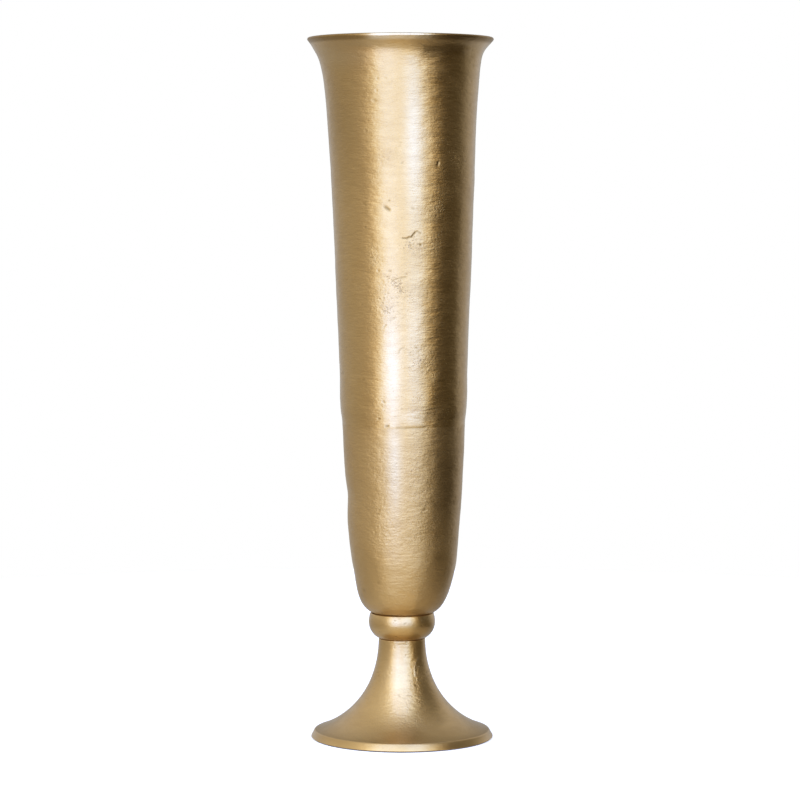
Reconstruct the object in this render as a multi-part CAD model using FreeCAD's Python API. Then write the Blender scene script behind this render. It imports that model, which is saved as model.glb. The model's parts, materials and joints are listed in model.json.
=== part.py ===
import FreeCAD, Part
import math
import os

# A tall trumpet vase in cast metal, standing on a flared foot.
# The body is three castings, lapped and brazed one on top of the other: a round-bottomed bowl
# section, a plain middle section and a flaring mouth section. Below the body sits a bead-shaped
# knop, and below that the hollow foot. One bolt, put in from inside the bowl, pulls body, knop and
# foot together, and a rubber gasket under its head keeps the water in. A felt ring lines the foot.
#
# Millimetres. The axis of the vase is +Z, and the origin is at the centre of the face it stands on.
# Nearly every piece is turned: an outline of points at a radius and a height, swept once round.

# Heights of the pieces, stacked up from the table
felt_thickness = 1.0
foot_height = 86.2
knop_height = 22.6
bowl_section_length = 165.6
middle_section_length = 157.2
mouth_section_length = 177.4

# Body: the bowl swells from its seat to a shoulder, then a long, nearly straight wall runs
# up to the throat, where the trumpet flare begins. Leans are degrees off the vertical.
wall = 3.0
seat_radius = 26.2
seat_rise = 23.5  # degrees above the level at which the bowl leaves its seat
shoulder_radius = 45.3
shoulder_height = 43.0  # above the seat
shoulder_lean = 10.0
throat_radius = 65.0
throat_depth = 63.0  # below the mouth
throat_lean = 4.1
mouth_radius = 82.0
lip_lean = 40.0

# How far each stretch of the body's outline keeps to its direction at either end
bowl_reach_low = 13.5
bowl_reach_high = 23.0
wall_reach_low = 43.0
wall_reach_high = 61.0
flare_reach_low = 55.0
flare_reach_high = 15.0

# Inside of the bowl: a flat floor for the gasket, then an easy sweep up the wall
floor_thickness = 5.0
floor_margin = 5.0  # flat floor left round the gasket
floor_reach = 15.0

# Lap joints between the castings of the body
lap_length = 7.0
lap_clearance = 0.05
lap_end_gap = 0.2

# Knop: widest at its belly, with a broad top face and a narrower underside
knop_top_margin = 1.5  # by which its top edge stands out past the bowl's seat
knop_bulge = 1.4  # by which its belly stands out past its top edge
knop_belly_height = 14.4  # above its underside
knop_underside_inset = 0.8  # by which its lower edge lies inside the stem's own radius
knop_bore_radius = 12.0
knop_edge_round = 1.2

# Spigots that centre the bowl and the foot in the knop's bore
spigot_length = 5.0
spigot_clearance = 0.05

# Foot: a hollow stem that sweeps out to a short, slightly splayed band
stem_radius = 20.4
stem_edge_round = 0.9
stem_lean = 0.8
stem_reach = 51.0
skirt_slope = 17.0  # degrees below the level
skirt_reach = 24.5
band_radius = 79.8  # at its lower edge
band_splay = 3.2  # by which the lower edge stands out past the upper one
band_height = 5.9
band_top_round = 1.0
band_foot_round = 0.6
foot_wall = 4.0
foot_web = 8.0  # metal above the hollow, which the bolt goes through
foot_land = 8.5  # width of the flat ring that carries the felt
hollow_round = 3.0  # where the hollow meets the web

# Felt ring, set in from both edges of the foot's flat ring
felt_margin = 1.3

# Bolt and what goes on it
bolt_radius = 4.0
bolt_length = 55.0  # under the head
bolt_hole_clearance = 0.4
bolt_tip_chamfer = 0.8
head_across_flats = 13.0
head_height = 5.3
nut_height = 6.5
thread_clearance = 0.05
head_washer_radius = 12.0
gasket_margin = 2.0  # by which the gasket stands out past the washer
gasket_thickness = 2.0
head_washer_thickness = 1.6
nut_washer_radius = 10.0
nut_washer_thickness = 1.6
washer_clearance = 0.3
spring_washer_radius = 7.0
spring_washer_thickness = 2.0
spring_washer_slit = 0.8
spring_washer_slant = 20.0  # degrees that the slit leans from the axis
hex_corner_chamfer = 30.0  # degrees below the level

# Heights that follow from the stack
foot_base = felt_thickness
knop_underside = foot_base + foot_height
seat = knop_underside + knop_height
lower_joint = seat + bowl_section_length
upper_joint = lower_joint + middle_section_length
mouth = upper_joint + mouth_section_length
floor_top = seat + floor_thickness
web_underside = knop_underside - foot_web

# Faces that the stack of bolt, washers and nut bears on
gasket_top = floor_top + gasket_thickness
head_seat = gasket_top + head_washer_thickness
nut_washer_underside = web_underside - nut_washer_thickness
nut_top = nut_washer_underside - spring_washer_thickness

# Radii that follow from their neighbours
bolt_hole_radius = bolt_radius + bolt_hole_clearance
spigot_radius = knop_bore_radius - spigot_clearance
knop_top_radius = seat_radius + knop_top_margin
knop_radius = knop_top_radius + knop_bulge
knop_underside_radius = stem_radius - knop_underside_inset
skirt_radius = band_radius - band_splay  # where the sweep of the foot meets the band
gasket_radius = head_washer_radius + gasket_margin
floor_radius = gasket_radius + floor_margin

AXIS = FreeCAD.Vector(0, 0, 1)
ORIGIN = FreeCAD.Vector(0, 0, 0)


def at(radius, height):
    """A point of an outline."""
    return FreeCAD.Vector(radius, 0, height)


def towards(lean):
    """Upward direction that leans outwards from the vertical, in degrees."""
    return at(math.sin(math.radians(lean)), math.cos(math.radians(lean)))


def line(start, end):
    return Part.LineSegment(start, end).toShape()


def path(points):
    """Straight edges through the points."""
    return [line(a, b) for a, b in zip(points, points[1:])]


def sweep(start, start_direction, start_reach, end, end_direction, end_reach):
    """A smooth stretch of outline that leaves and arrives in the given directions."""
    curve = Part.BezierCurve()
    curve.setPoles([start, start + start_direction * start_reach, end - end_direction * end_reach, end])
    return curve


def swell(widest, end):
    """Arc that is upright at its widest point and runs to the end point."""
    out = widest.x - end.x
    along = end.z - widest.z
    radius = (out * out + along * along) / (2 * out)
    centre = widest.x - radius
    half_turn = math.atan2(along, end.x - centre) / 2
    middle = at(centre + radius * math.cos(half_turn), widest.z + radius * math.sin(half_turn))
    return Part.Arc(widest, middle, end).toShape()


def turned(edges):
    """The solid swept by a closed outline, once round the axis."""
    face = Part.Face(Part.Wire(edges))
    return face.revolve(ORIGIN, AXIS, 360)


def ring(inner, outer, bottom, top):
    """A plain ring."""
    corners = [at(inner, bottom), at(outer, bottom), at(outer, top), at(inner, top)]
    return turned(path(corners + corners[:1]))


def rounded(solid, point, rounding):
    """The solid with its level circular edge nearest to a point of the outline rounded."""
    nearest = None
    for edge in solid.Edges:
        box = edge.BoundBox
        if box.ZLength > 1e-3:
            continue
        miss = math.hypot(box.XMax - point.x, box.ZMin - point.z)
        if nearest is None or miss < nearest[0]:
            nearest = (miss, edge)
    return solid.makeFillet(rounding, [nearest[1]])


def hexagon(across_flats, bottom, top):
    """A hexagonal prism whose corners are chamfered at both ends."""
    corner_radius = across_flats / 2 / math.cos(math.pi / 6)
    corners = []
    for k in range(7):
        angle = math.radians(60 * k + 30)
        corners.append(FreeCAD.Vector(corner_radius * math.cos(angle), corner_radius * math.sin(angle), bottom))
    prism = Part.Face(Part.makePolygon(corners)).extrude(AXIS * (top - bottom))
    drop = (corner_radius - across_flats / 2) * math.tan(math.radians(hex_corner_chamfer))
    outline = [
        at(0, bottom),
        at(across_flats / 2, bottom),
        at(corner_radius, bottom + drop),
        at(corner_radius, top - drop),
        at(across_flats / 2, top),
        at(0, top),
    ]
    return prism.common(turned(path(outline + outline[:1])))


def body_outline():
    """Outer curves of the bowl, wall and flare, and the centre and half thickness of the lip."""
    half = wall / 2
    lip_centre = at(mouth_radius - half, mouth - half)
    lip_outside = lip_centre + towards(lip_lean + 90) * half
    seat_edge = at(seat_radius, seat)
    shoulder = at(shoulder_radius, seat + shoulder_height)
    throat = at(throat_radius, mouth - throat_depth)
    bowl = sweep(
        seat_edge, towards(90 - seat_rise), bowl_reach_low, shoulder, towards(shoulder_lean), bowl_reach_high
    )
    side = sweep(
        shoulder, towards(shoulder_lean), wall_reach_low, throat, towards(throat_lean), wall_reach_high
    )
    flare = sweep(
        throat, towards(throat_lean), flare_reach_low, lip_outside, towards(lip_lean), flare_reach_high
    )
    return bowl, side, flare, lip_centre


def alongside(curve, start_lean, end_lean, distance):
    """The curve at a distance to the right of a sweep's way of travel, running back from its end."""
    start, start_handle, end_handle, end = curve.getPoles()
    new_start = start + towards(start_lean + 90) * distance
    new_end = end + towards(end_lean + 90) * distance
    scale = (new_end - new_start).Length / (end - start).Length
    start_reach = (start_handle - start).Length * scale
    end_reach = (end - end_handle).Length * scale
    return sweep(new_end, towards(end_lean) * -1, end_reach, new_start, towards(start_lean) * -1, start_reach)


def body_blank():
    """The whole body in one piece, before it is divided into its three castings."""
    bowl, side, flare, lip_centre = body_outline()
    inner_flare = alongside(flare, throat_lean, lip_lean, -wall)
    inner_side = alongside(side, shoulder_lean, throat_lean, -wall)
    lip = Part.Arc(flare.EndPoint, lip_centre + towards(lip_lean) * (wall / 2), inner_flare.StartPoint)
    floor_edge = at(floor_radius, floor_top)
    inner_bowl = sweep(
        inner_side.EndPoint, towards(shoulder_lean) * -1, bowl_reach_high, floor_edge, at(-1, 0), floor_reach
    )
    underside = path([
        at(bolt_hole_radius, floor_top),
        at(bolt_hole_radius, seat - spigot_length),
        at(spigot_radius, seat - spigot_length),
        at(spigot_radius, seat),
        at(seat_radius, seat),
    ])
    curves = [bowl, side, flare, lip, inner_flare, inner_side, inner_bowl]
    floor = line(floor_edge, at(bolt_hole_radius, floor_top))
    return turned(underside + [curve.toShape() for curve in curves] + [floor])


def lap_radius(height):
    """Radius at the middle of the body's wall, at a height on its long straight stretch."""
    side = body_outline()[1]
    low, high = side.FirstParameter, side.LastParameter
    while high - low > 1e-9:
        middle = (low + high) / 2
        if side.value(middle).z < height:
            low = middle
        else:
            high = middle
    return side.value(low).x - wall / 2


def joint_below(height):
    """Outline, from the axis outwards, of a casting's lower end: a spigot inside, a shoulder outside."""
    spigot = lap_radius(height) - lap_clearance
    return [at(0, height - lap_length), at(spigot, height - lap_length), at(spigot, height)]


def joint_above(height):
    """Outline, from the outside in, of a casting's upper end: a shoulder outside, a socket inside."""
    socket = lap_radius(height)
    ledge = height - lap_length - lap_end_gap
    return [at(socket, height), at(socket, ledge), at(0, ledge)]


def casting(lower_end, upper_end):
    """The part of the body between two ends, each an outline from or to the axis."""
    reach = mouth_radius + wall
    outline = lower_end + [at(reach, lower_end[-1].z), at(reach, upper_end[0].z)] + upper_end
    return body_blank().common(turned(path(outline + outline[:1])))


def bowl_section():
    return casting([at(0, foot_base)], joint_above(lower_joint))


def middle_section():
    return casting(joint_below(lower_joint), joint_above(upper_joint))


def mouth_section():
    return casting(joint_below(upper_joint), [at(0, mouth + wall)])


def knop():
    """Bored bead between the bowl and the foot."""
    belly = at(knop_radius, knop_underside + knop_belly_height)
    top_edge = at(knop_top_radius, seat)
    lower_edge = at(knop_underside_radius, knop_underside)
    outline = path([lower_edge, at(knop_bore_radius, knop_underside), at(knop_bore_radius, seat), top_edge])
    blank = turned(outline + [swell(belly, top_edge), swell(belly, lower_edge)])
    return rounded(blank, top_edge, knop_edge_round)


def foot():
    """Hollow foot of even wall, with a web at the top of the hollow and a spigot above it."""
    start_lean = 180 - stem_lean
    end_lean = 90 + skirt_slope
    stem_edge = at(stem_radius, knop_underside)
    skirt_edge = at(skirt_radius, foot_base + band_height)
    band_foot = at(band_radius, foot_base)
    spigot_top = knop_underside + spigot_length
    outside = sweep(stem_edge, towards(start_lean), stem_reach, skirt_edge, towards(end_lean), skirt_reach)
    blank = turned([outside.toShape()] + path([
        skirt_edge,
        band_foot,
        at(bolt_hole_radius, foot_base),
        at(bolt_hole_radius, spigot_top),
        at(spigot_radius, spigot_top),
        at(spigot_radius, knop_underside),
        stem_edge,
    ]))
    inside = alongside(outside, start_lean, end_lean, foot_wall)
    lowest, highest = inside.StartPoint, inside.EndPoint
    room = turned([inside.toShape()] + path([
        highest, at(0, highest.z), at(0, foot_base), at(lowest.x, foot_base), lowest,
    ]))
    limit = Part.makeCylinder(band_radius - foot_land, web_underside - foot_base, at(0, foot_base), AXIS)
    casting = blank.cut(room.common(limit))
    casting = rounded(casting, at(stem_radius - foot_wall, web_underside), hollow_round)
    casting = rounded(casting, stem_edge, stem_edge_round)
    casting = rounded(casting, skirt_edge, band_top_round)
    return rounded(casting, band_foot, band_foot_round)


def felt_ring():
    outer = band_radius - felt_margin
    inner = band_radius - foot_land + felt_margin
    return ring(inner, outer, foot_base - felt_thickness, foot_base)


def bowl_gasket():
    return ring(bolt_radius, gasket_radius, floor_top, gasket_top)


def head_washer():
    return ring(bolt_radius + washer_clearance, head_washer_radius, gasket_top, head_seat)


def nut_washer():
    return ring(bolt_radius + washer_clearance, nut_washer_radius, nut_washer_underside, web_underside)


def spring_washer():
    """Split lock washer, pressed flat by the nut."""
    washer = ring(bolt_radius + washer_clearance, spring_washer_radius, nut_top, nut_washer_underside)
    depth = 3 * spring_washer_thickness
    slit = Part.makeBox(2 * spring_washer_radius, spring_washer_slit, 2 * depth)
    slit.translate(FreeCAD.Vector(0, -spring_washer_slit / 2, -depth))
    slit.rotate(ORIGIN, FreeCAD.Vector(1, 0, 0), spring_washer_slant)
    slit.translate(AXIS * (nut_top + spring_washer_thickness / 2))
    return washer.cut(slit)


def tie_bolt():
    """Hexagon-headed bolt. Its shank stands for the thread at the thread's outer size."""
    head = hexagon(head_across_flats, head_seat, head_seat + head_height)
    tip = head_seat - bolt_length
    outline = [
        at(0, head_seat),
        at(0, tip),
        at(bolt_radius - bolt_tip_chamfer, tip),
        at(bolt_radius, tip + bolt_tip_chamfer),
        at(bolt_radius, head_seat),
    ]
    shank = turned(path(outline + outline[:1]))
    return head.fuse(shank).removeSplitter()


def hex_nut():
    nut_underside = nut_top - nut_height
    blank = hexagon(head_across_flats, nut_underside, nut_top)
    bore = bolt_radius + thread_clearance
    return blank.cut(ring(0, bore, nut_underside - 1, nut_top + 1))


def write(name, shape):
    """One file for each piece, named after it."""
    solids = shape.Solids
    piece = solids[0] if len(solids) == 1 else Part.makeCompound(solids)
    piece.exportStep(os.path.join("parts", name + ".step"))
    print(name, "valid", piece.isValid(), "solids", len(solids), "volume", round(piece.Volume, 1))


os.makedirs("parts", exist_ok=True)
write("mouth_section", mouth_section())
write("middle_section", middle_section())
write("bowl_section", bowl_section())
write("knop", knop())
write("foot", foot())
write("felt_ring", felt_ring())
write("bowl_gasket", bowl_gasket())
write("head_washer", head_washer())
write("tie_bolt", tie_bolt())
write("nut_washer", nut_washer())
write("spring_washer", spring_washer())
write("hex_nut", hex_nut())
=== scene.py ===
# %% [markdown]
# # A tall trumpet vase in satin gold cast metal
# The vase is three aluminium castings brazed end to end, a bead-shaped knop and a hollow foot, all
# pulled together by one bolt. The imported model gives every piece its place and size. This notebook
# gives the pieces the skin of the real thing: the wander of a hand-dressed casting, the fine lines
# of the lathe, pits and cracks left by the sand, and a satin gold lacquer over the metal.

import json
import math

import bpy
import numpy as np
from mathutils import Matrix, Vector

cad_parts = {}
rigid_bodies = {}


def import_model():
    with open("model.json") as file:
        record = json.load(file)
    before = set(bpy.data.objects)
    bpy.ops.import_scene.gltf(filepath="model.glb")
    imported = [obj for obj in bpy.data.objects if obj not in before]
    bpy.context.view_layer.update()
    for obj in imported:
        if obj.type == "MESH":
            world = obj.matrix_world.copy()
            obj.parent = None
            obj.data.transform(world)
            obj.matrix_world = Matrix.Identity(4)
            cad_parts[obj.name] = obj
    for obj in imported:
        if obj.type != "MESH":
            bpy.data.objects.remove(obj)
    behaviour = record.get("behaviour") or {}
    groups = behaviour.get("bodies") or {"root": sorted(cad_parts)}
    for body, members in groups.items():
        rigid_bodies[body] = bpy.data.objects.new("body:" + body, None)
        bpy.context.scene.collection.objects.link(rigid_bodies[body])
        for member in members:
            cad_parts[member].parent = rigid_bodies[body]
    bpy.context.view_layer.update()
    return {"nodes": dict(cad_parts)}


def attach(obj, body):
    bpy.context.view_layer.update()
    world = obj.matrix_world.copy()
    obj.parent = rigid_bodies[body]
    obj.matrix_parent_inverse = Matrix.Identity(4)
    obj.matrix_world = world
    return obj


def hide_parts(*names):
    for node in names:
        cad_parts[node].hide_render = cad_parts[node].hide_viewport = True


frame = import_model()
print("pieces in the frame:", sorted(frame["nodes"]))

# %% [markdown]
# ## Camera
# The photograph was taken from about two and a half metres, with the lens a little lower than the
# mouth: the foot is seen from above, and the lip from just below, so that its near edge hides the
# inside. A camera can be aimed by turning it by hand, or by giving it the point it looks at. The
# second is used, because both points can be measured.

# %% Camera
CAMERA_PLACE = Vector((-0.0017, -2.6, 0.4695))
CAMERA_AIM = Vector((-0.0017, 0.0, 0.296))
LENS_MM = 134.52
SENSOR_MM = 36.0

camera_data = bpy.data.cameras.new("camera")
camera_data.lens = LENS_MM
camera_data.sensor_width = SENSOR_MM
camera = bpy.data.objects.new("camera", camera_data)
camera.location = CAMERA_PLACE
camera.rotation_euler = (CAMERA_AIM - CAMERA_PLACE).to_track_quat("-Z", "Y").to_euler()
bpy.context.scene.collection.objects.link(camera)
bpy.context.scene.camera = camera
bpy.context.scene.view_settings.view_transform = "Standard"
print("camera is", round((CAMERA_AIM - CAMERA_PLACE).length, 3), "m from what it looks at")

# %% [markdown]
# ## Sizes
# The outline is the one the castings were turned to. Its sizes are written in millimetres, as on a
# workshop drawing, and become metres only when a mesh is made. Heights stack up from the table.

# %% Sizes of the vase, in millimetres
MM = 0.001
FOOT_BASE = 1.0  # thickness of the felt
STEM_TOP = FOOT_BASE + 86.2
SEAT = STEM_TOP + 22.6
LOWER_JOINT = SEAT + 165.6
UPPER_JOINT = LOWER_JOINT + 157.2
MOUTH = UPPER_JOINT + 177.4
FLOOR_TOP = SEAT + 5.0
WEB_UNDERSIDE = STEM_TOP - 8.0
WALL = 3.0
BOLT_HOLE = 4.4
SPIGOT = 11.95
SPIGOT_LENGTH = 5.0
LAP_LENGTH = 7.0
LAP_CLEARANCE = 0.05
LAP_END_GAP = 0.2
print("joints at", round(LOWER_JOINT, 1), "and", round(UPPER_JOINT, 1), "mm, mouth at", round(MOUTH, 1), "mm")

# %% [markdown]
# ## Outlines
# Each piece is turned, so it is described by half of its section: radius across, height up. The long
# curves are Bezier sweeps, which leave and arrive in a given direction. A sweep is worked out at many
# points and then spaced again, so that the rows of the mesh are as close as its detail needs.

# %% Helpers for outlines
SWEEP_STEPS = 600
ARC_STEPS = 60


def point(radius, height):
    return np.array([radius, height], float)


def towards(lean):
    """One step in (radius, height), leaning out from straight up: (sin lean, cos lean)."""
    return point(math.sin(math.radians(lean)), math.cos(math.radians(lean)))


def sweep(start, start_lean, start_reach, end, end_lean, end_reach):
    """Cubic Bezier: (1-t)^3 start + 3(1-t)^2 t handle + 3(1-t)t^2 handle + t^3 end."""
    t = np.linspace(0, 1, SWEEP_STEPS)[:, None]
    leaving = start + towards(start_lean) * start_reach
    arriving = end - towards(end_lean) * end_reach
    return (1 - t) ** 3 * start + 3 * (1 - t) ** 2 * t * leaving + 3 * (1 - t) * t**2 * arriving + t**3 * end


def swept_inside(start, start_lean, start_reach, end, end_lean, end_reach, inward):
    """The same sweep moved to its left by a wall's thickness, its reaches scaled to its new length."""
    new_start = start - towards(start_lean + 90) * inward
    new_end = end - towards(end_lean + 90) * inward
    scale = np.hypot(*(new_end - new_start)) / np.hypot(*(end - start))
    return sweep(new_start, start_lean, start_reach * scale, new_end, end_lean, end_reach * scale)


def arc(centre, radius, start_lean, end_lean):
    """Circle about the centre: centre + radius (sin lean, cos lean), from one lean to the other."""
    lean = np.radians(np.linspace(start_lean, end_lean, ARC_STEPS))
    return centre + radius * np.stack([np.sin(lean), np.cos(lean)], axis=1)


# %% Spacing and joining lines
SAME_PLACE = 1e-3  # millimetres


def spaced(line, gap):
    """The line with its points spaced again at about the gap, measured along it."""
    line = np.asarray(line, float)
    length = np.concatenate([[0.0], np.cumsum(np.hypot(*np.diff(line, axis=0).T))])
    wanted = np.linspace(0, length[-1], max(2, round(length[-1] / gap) + 1))
    return np.stack([np.interp(wanted, length, line[:, 0]), np.interp(wanted, length, line[:, 1])], axis=1)


def between(line, low, high):
    """The stretch of a rising line between two heights, with its ends cut exactly there."""
    ends = [point(np.interp(z, line[:, 1], line[:, 0]), z) for z in (low, high)]
    inside = (line[:, 1] > low) & (line[:, 1] < high)
    return np.vstack([ends[:1], line[inside], ends[1:]])


def straight(gap, *points):
    """Straight runs through the points, with rows at about the gap."""
    return np.vstack([spaced([a, b], gap) for a, b in zip(points, points[1:])])


def loop(*stretches):
    """The stretches as one closed line, without the doubled points where they meet."""
    line = np.vstack(stretches)
    step = np.hypot(*(line - np.roll(line, 1, axis=0)).T)
    return line[step > SAME_PLACE]


# %% [markdown]
# ## The outline of the body
# Outside, the bowl swells from its seat on the knop to a shoulder, a long wall runs up to the throat,
# and the flare ends in a rounded lip. Inside, the same curves run back down, one wall's thickness in,
# to a flat floor. Drawing the body whole, and only then cutting it at the joints, is what keeps the
# three castings in one line.

# %% Outline of the body, outside and inside
LIP_LEAN = 40.0
SHOULDER_LEAN = 10.0
THROAT_LEAN = 4.1
lip_centre = point(81.95 - WALL / 2, MOUTH - WALL / 2)
lip_outside = lip_centre + towards(LIP_LEAN + 90) * WALL / 2
seat_edge = point(26.2, SEAT)
shoulder = point(45.3, SEAT + 43.0)
throat = point(65.0, MOUTH - 63.0)
floor_edge = point(19.0, FLOOR_TOP)

bowl_sweep = (seat_edge, 66.5, 13.5, shoulder, SHOULDER_LEAN, 23.0)
side_sweep = (shoulder, SHOULDER_LEAN, 43.0, throat, THROAT_LEAN, 61.0)
flare_sweep = (throat, THROAT_LEAN, 55.0, lip_outside, LIP_LEAN, 15.0)
body_outside = np.vstack([sweep(*bowl_sweep), sweep(*side_sweep)[1:], sweep(*flare_sweep)[1:]])
inner_side = swept_inside(*side_sweep, WALL)
inner_bowl = sweep(floor_edge, 90.0, 15.0, inner_side[0], SHOULDER_LEAN, 23.0)
body_inside = np.vstack([inner_bowl, inner_side[1:], swept_inside(*flare_sweep, WALL)[1:]])
lip = arc(lip_centre, WALL / 2, LIP_LEAN + 90, LIP_LEAN - 90)


def skin_radius(height):
    """Radius of the body's outside at a height."""
    return np.interp(height, body_outside[:, 1], body_outside[:, 0])


print("the body is", round(2 * float(lip[:, 0].max()), 1), "mm across its lip")

# %% [markdown]
# ## Random unevenness
# Nothing here is perfectly round or perfectly smooth. The unevenness is gradient noise: every corner
# of a square lattice gets a random slope, and a point between corners blends the four slopes that
# surround it. The lattice closes on itself once round the vase, so there is no seam. Each layer of
# noise has its own seed, so the same vase comes out every time.

# %% Smooth noise round the vase
LATTICE_ROWS = 1024
TURN = 2 * math.pi


def smooth_noise(angle, height, cells_round, cell_height, seed):
    """Sum over the four corners of (slope at corner) . (way from corner), blended by
    6t^5 - 15t^4 + 10t^3 in both directions. About -0.7 to 0.7."""
    lean = np.random.default_rng(seed).uniform(0, TURN, (LATTICE_ROWS, cells_round))
    u = (angle / TURN % 1.0) * cells_round
    v = height / cell_height + LATTICE_ROWS
    column, row = np.floor(u).astype(int), np.floor(v).astype(int)
    du, dv = u - column, v - row
    fade_u = du**3 * (du * (du * 6 - 15) + 10)
    fade_v = dv**3 * (dv * (dv * 6 - 15) + 10)
    total = np.zeros(np.broadcast(u, v).shape)
    for right in (0, 1):
        for up in (0, 1):
            slope = lean[(row + up) % LATTICE_ROWS, (column + right) % cells_round]
            way = np.cos(slope) * (du - right) + np.sin(slope) * (dv - up)
            total += way * (fade_u if right else 1 - fade_u) * (fade_v if up else 1 - fade_v)
    return total


def ease(value, low, high):
    """0 below low, 1 above high, and 3t^2 - 2t^3 between them."""
    t = np.clip((value - low) / (high - low), 0, 1)
    return t * t * (3 - 2 * t)


def window(value, low, high, soft):
    """1 between low and high, easing to 0 over the soft width outside them."""
    return ease(value, low - soft, low) * (1 - ease(value, high, high + soft))


# %% [markdown]
# ## Pits, cracks and scratches
# A sand casting keeps small faults: gas pits, a short crack where the metal cooled fast, a scratch or
# two from the bench. Each is a dent with its own place, given by its angle round from the front in
# degrees and its height in millimetres. Carving them with Boolean cuts would be slow and would leave
# sharp edges, while a bell-shaped dent is one line of arithmetic and is already soft.

# %% Dents in the skin
FAR_OFF = 1e9  # millimetres


def way_round(angle, degrees):
    """Angle from a place, the short way round, in radians."""
    return (angle - math.radians(degrees) + math.pi) % TURN - math.pi


def dent(skin, place, length, width, tilt=0.0):
    """exp(-(along/length)^4 - (across/width)^2), in a frame turned by tilt degrees: 1 at its bottom."""
    right = way_round(skin["angle"], place[0]) * skin["radius"]
    up = skin["height"] - place[1]
    c, s = math.cos(math.radians(tilt)), math.sin(math.radians(tilt))
    return np.exp(-(((right * c + up * s) / length) ** 4) - ((up * c - right * s) / width) ** 2)


def dents(skin, rows):
    """Each row is a depth, then an angle, a height, a length and a width, and a tilt if there is one."""
    return [depth * dent(skin, (angle, height), *shape) for depth, angle, height, *shape in rows]


def groove(skin, places, width):
    """exp(-(d/width)^2), where d is the distance to the nearest run between the places."""
    nearest = np.full(skin["shape"], FAR_OFF)
    for (a0, z0), (a1, z1) in zip(places, places[1:]):
        run_right = math.radians(a1 - a0) * skin["radius"]
        right, up, rise = way_round(skin["angle"], a0) * skin["radius"], skin["height"] - z0, z1 - z0
        t = np.clip((right * run_right + up * rise) / (run_right**2 + rise**2), 0, 1)
        nearest = np.minimum(nearest, np.hypot(right - t * run_right, up - t * rise))
    return np.exp(-((nearest / width) ** 2))


def grooves(skin, rows):
    """Each row is a depth, a width, and the places that the groove runs through."""
    return [depth * groove(skin, places, width) for depth, width, *places in rows]


def patch(skin, place, wide, high):
    """exp(-(right/wide)^2 - (up/high)^2): a soft-edged area, 1 at its middle. wide is in degrees."""
    right = np.degrees(way_round(skin["angle"], place[0])) / wide
    return np.exp(-(right**2) - ((skin["height"] - place[1]) / high) ** 2)


def patches(skin, rows):
    """Each row is an amount, then the patch's angle, height, and how wide and high it is."""
    return [amount * patch(skin, (angle, height), *size) for amount, angle, height, *size in rows]


def scattered(skin, count, low, high, smallest, largest, seed):
    """Round dents at random places between two heights, the deepest winning."""
    random = np.random.default_rng(seed)
    total = np.zeros(skin["shape"])
    for _ in range(count):
        place = (random.uniform(-180.0, 180.0), random.uniform(low, high))
        size = random.uniform(smallest, largest)
        stretch, tilt, deep = random.uniform(1.0, 1.9), random.uniform(-30, 30), random.uniform(0.3, 1)
        total = np.maximum(total, deep * dent(skin, place, size * stretch, size, tilt))
    return total


# %% [markdown]
# ## Turned surfaces
# A turned piece is a function of two parameters: how far along its outline, and how far round. The
# columns are not evenly spread: they crowd together at the front, where the finest faults are. Spin
# or a Screw modifier would also turn an outline, but when it is worked out as arrays each point can be
# pushed in or out along its own normal, which is how the unevenness gets into the shape. Besides
# their place, the points carry four values that the finish reads: how sandy the skin is; how dark it
# is, in its pits, cracks and joint lines and as painted shade; where a painted highlight makes the
# lacquer paler; and how porous the metal is.

# %% Making a mesh from a grid
CORNER_TURN = 30.0  # degrees: an outline that turns by more than this has a sharp corner


def angles_round(count, crowding):
    """2 pi t - crowding sin(2 pi t): once round from the front, closest together there."""
    t = np.arange(count) / count
    angle = TURN * t - crowding * np.sin(TURN * t)
    return np.where(angle > math.pi, angle - TURN, angle)


def directions(outline):
    """Unit steps along the closed outline: into each point, and out of it."""
    after = np.roll(outline, -1, axis=0) - outline
    after /= np.hypot(*after.T)[:, None]
    return np.roll(after, 1, axis=0), after


def corner_rows(outline):
    """Rows where the closed outline has a sharp corner."""
    before, after = directions(outline)
    return np.flatnonzero(np.sum(before * after, axis=1) < math.cos(math.radians(CORNER_TURN)))


def outline_normals(outline):
    """The way out, square to the outline: its tangent (dr, dh) turned to (dh, -dr). At a sharp corner
    only the side that faces outwards the most counts, so that walls meet at a joint without a step."""
    before, after = directions(outline)
    tangent = before + after
    corners = corner_rows(outline)
    steeper = (before[corners, 1] > after[corners, 1])[:, None]
    tangent[corners] = np.where(steeper, before[corners], after[corners])
    tangent /= np.hypot(*tangent.T)[:, None]
    return np.stack([tangent[:, 1], -tangent[:, 0]], axis=1)


def ring_faces(rows, columns, closed):
    """Four-sided faces between neighbouring rows and columns, facing outwards."""
    last = rows if closed else rows - 1
    row, column = np.meshgrid(np.arange(last), np.arange(columns), indexing="ij")
    right, up = (column + 1) % columns, (row + 1) % rows
    corners = [row * columns + column, row * columns + right, up * columns + right, up * columns + column]
    return np.stack(corners, axis=-1).reshape(-1, 4)


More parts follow.
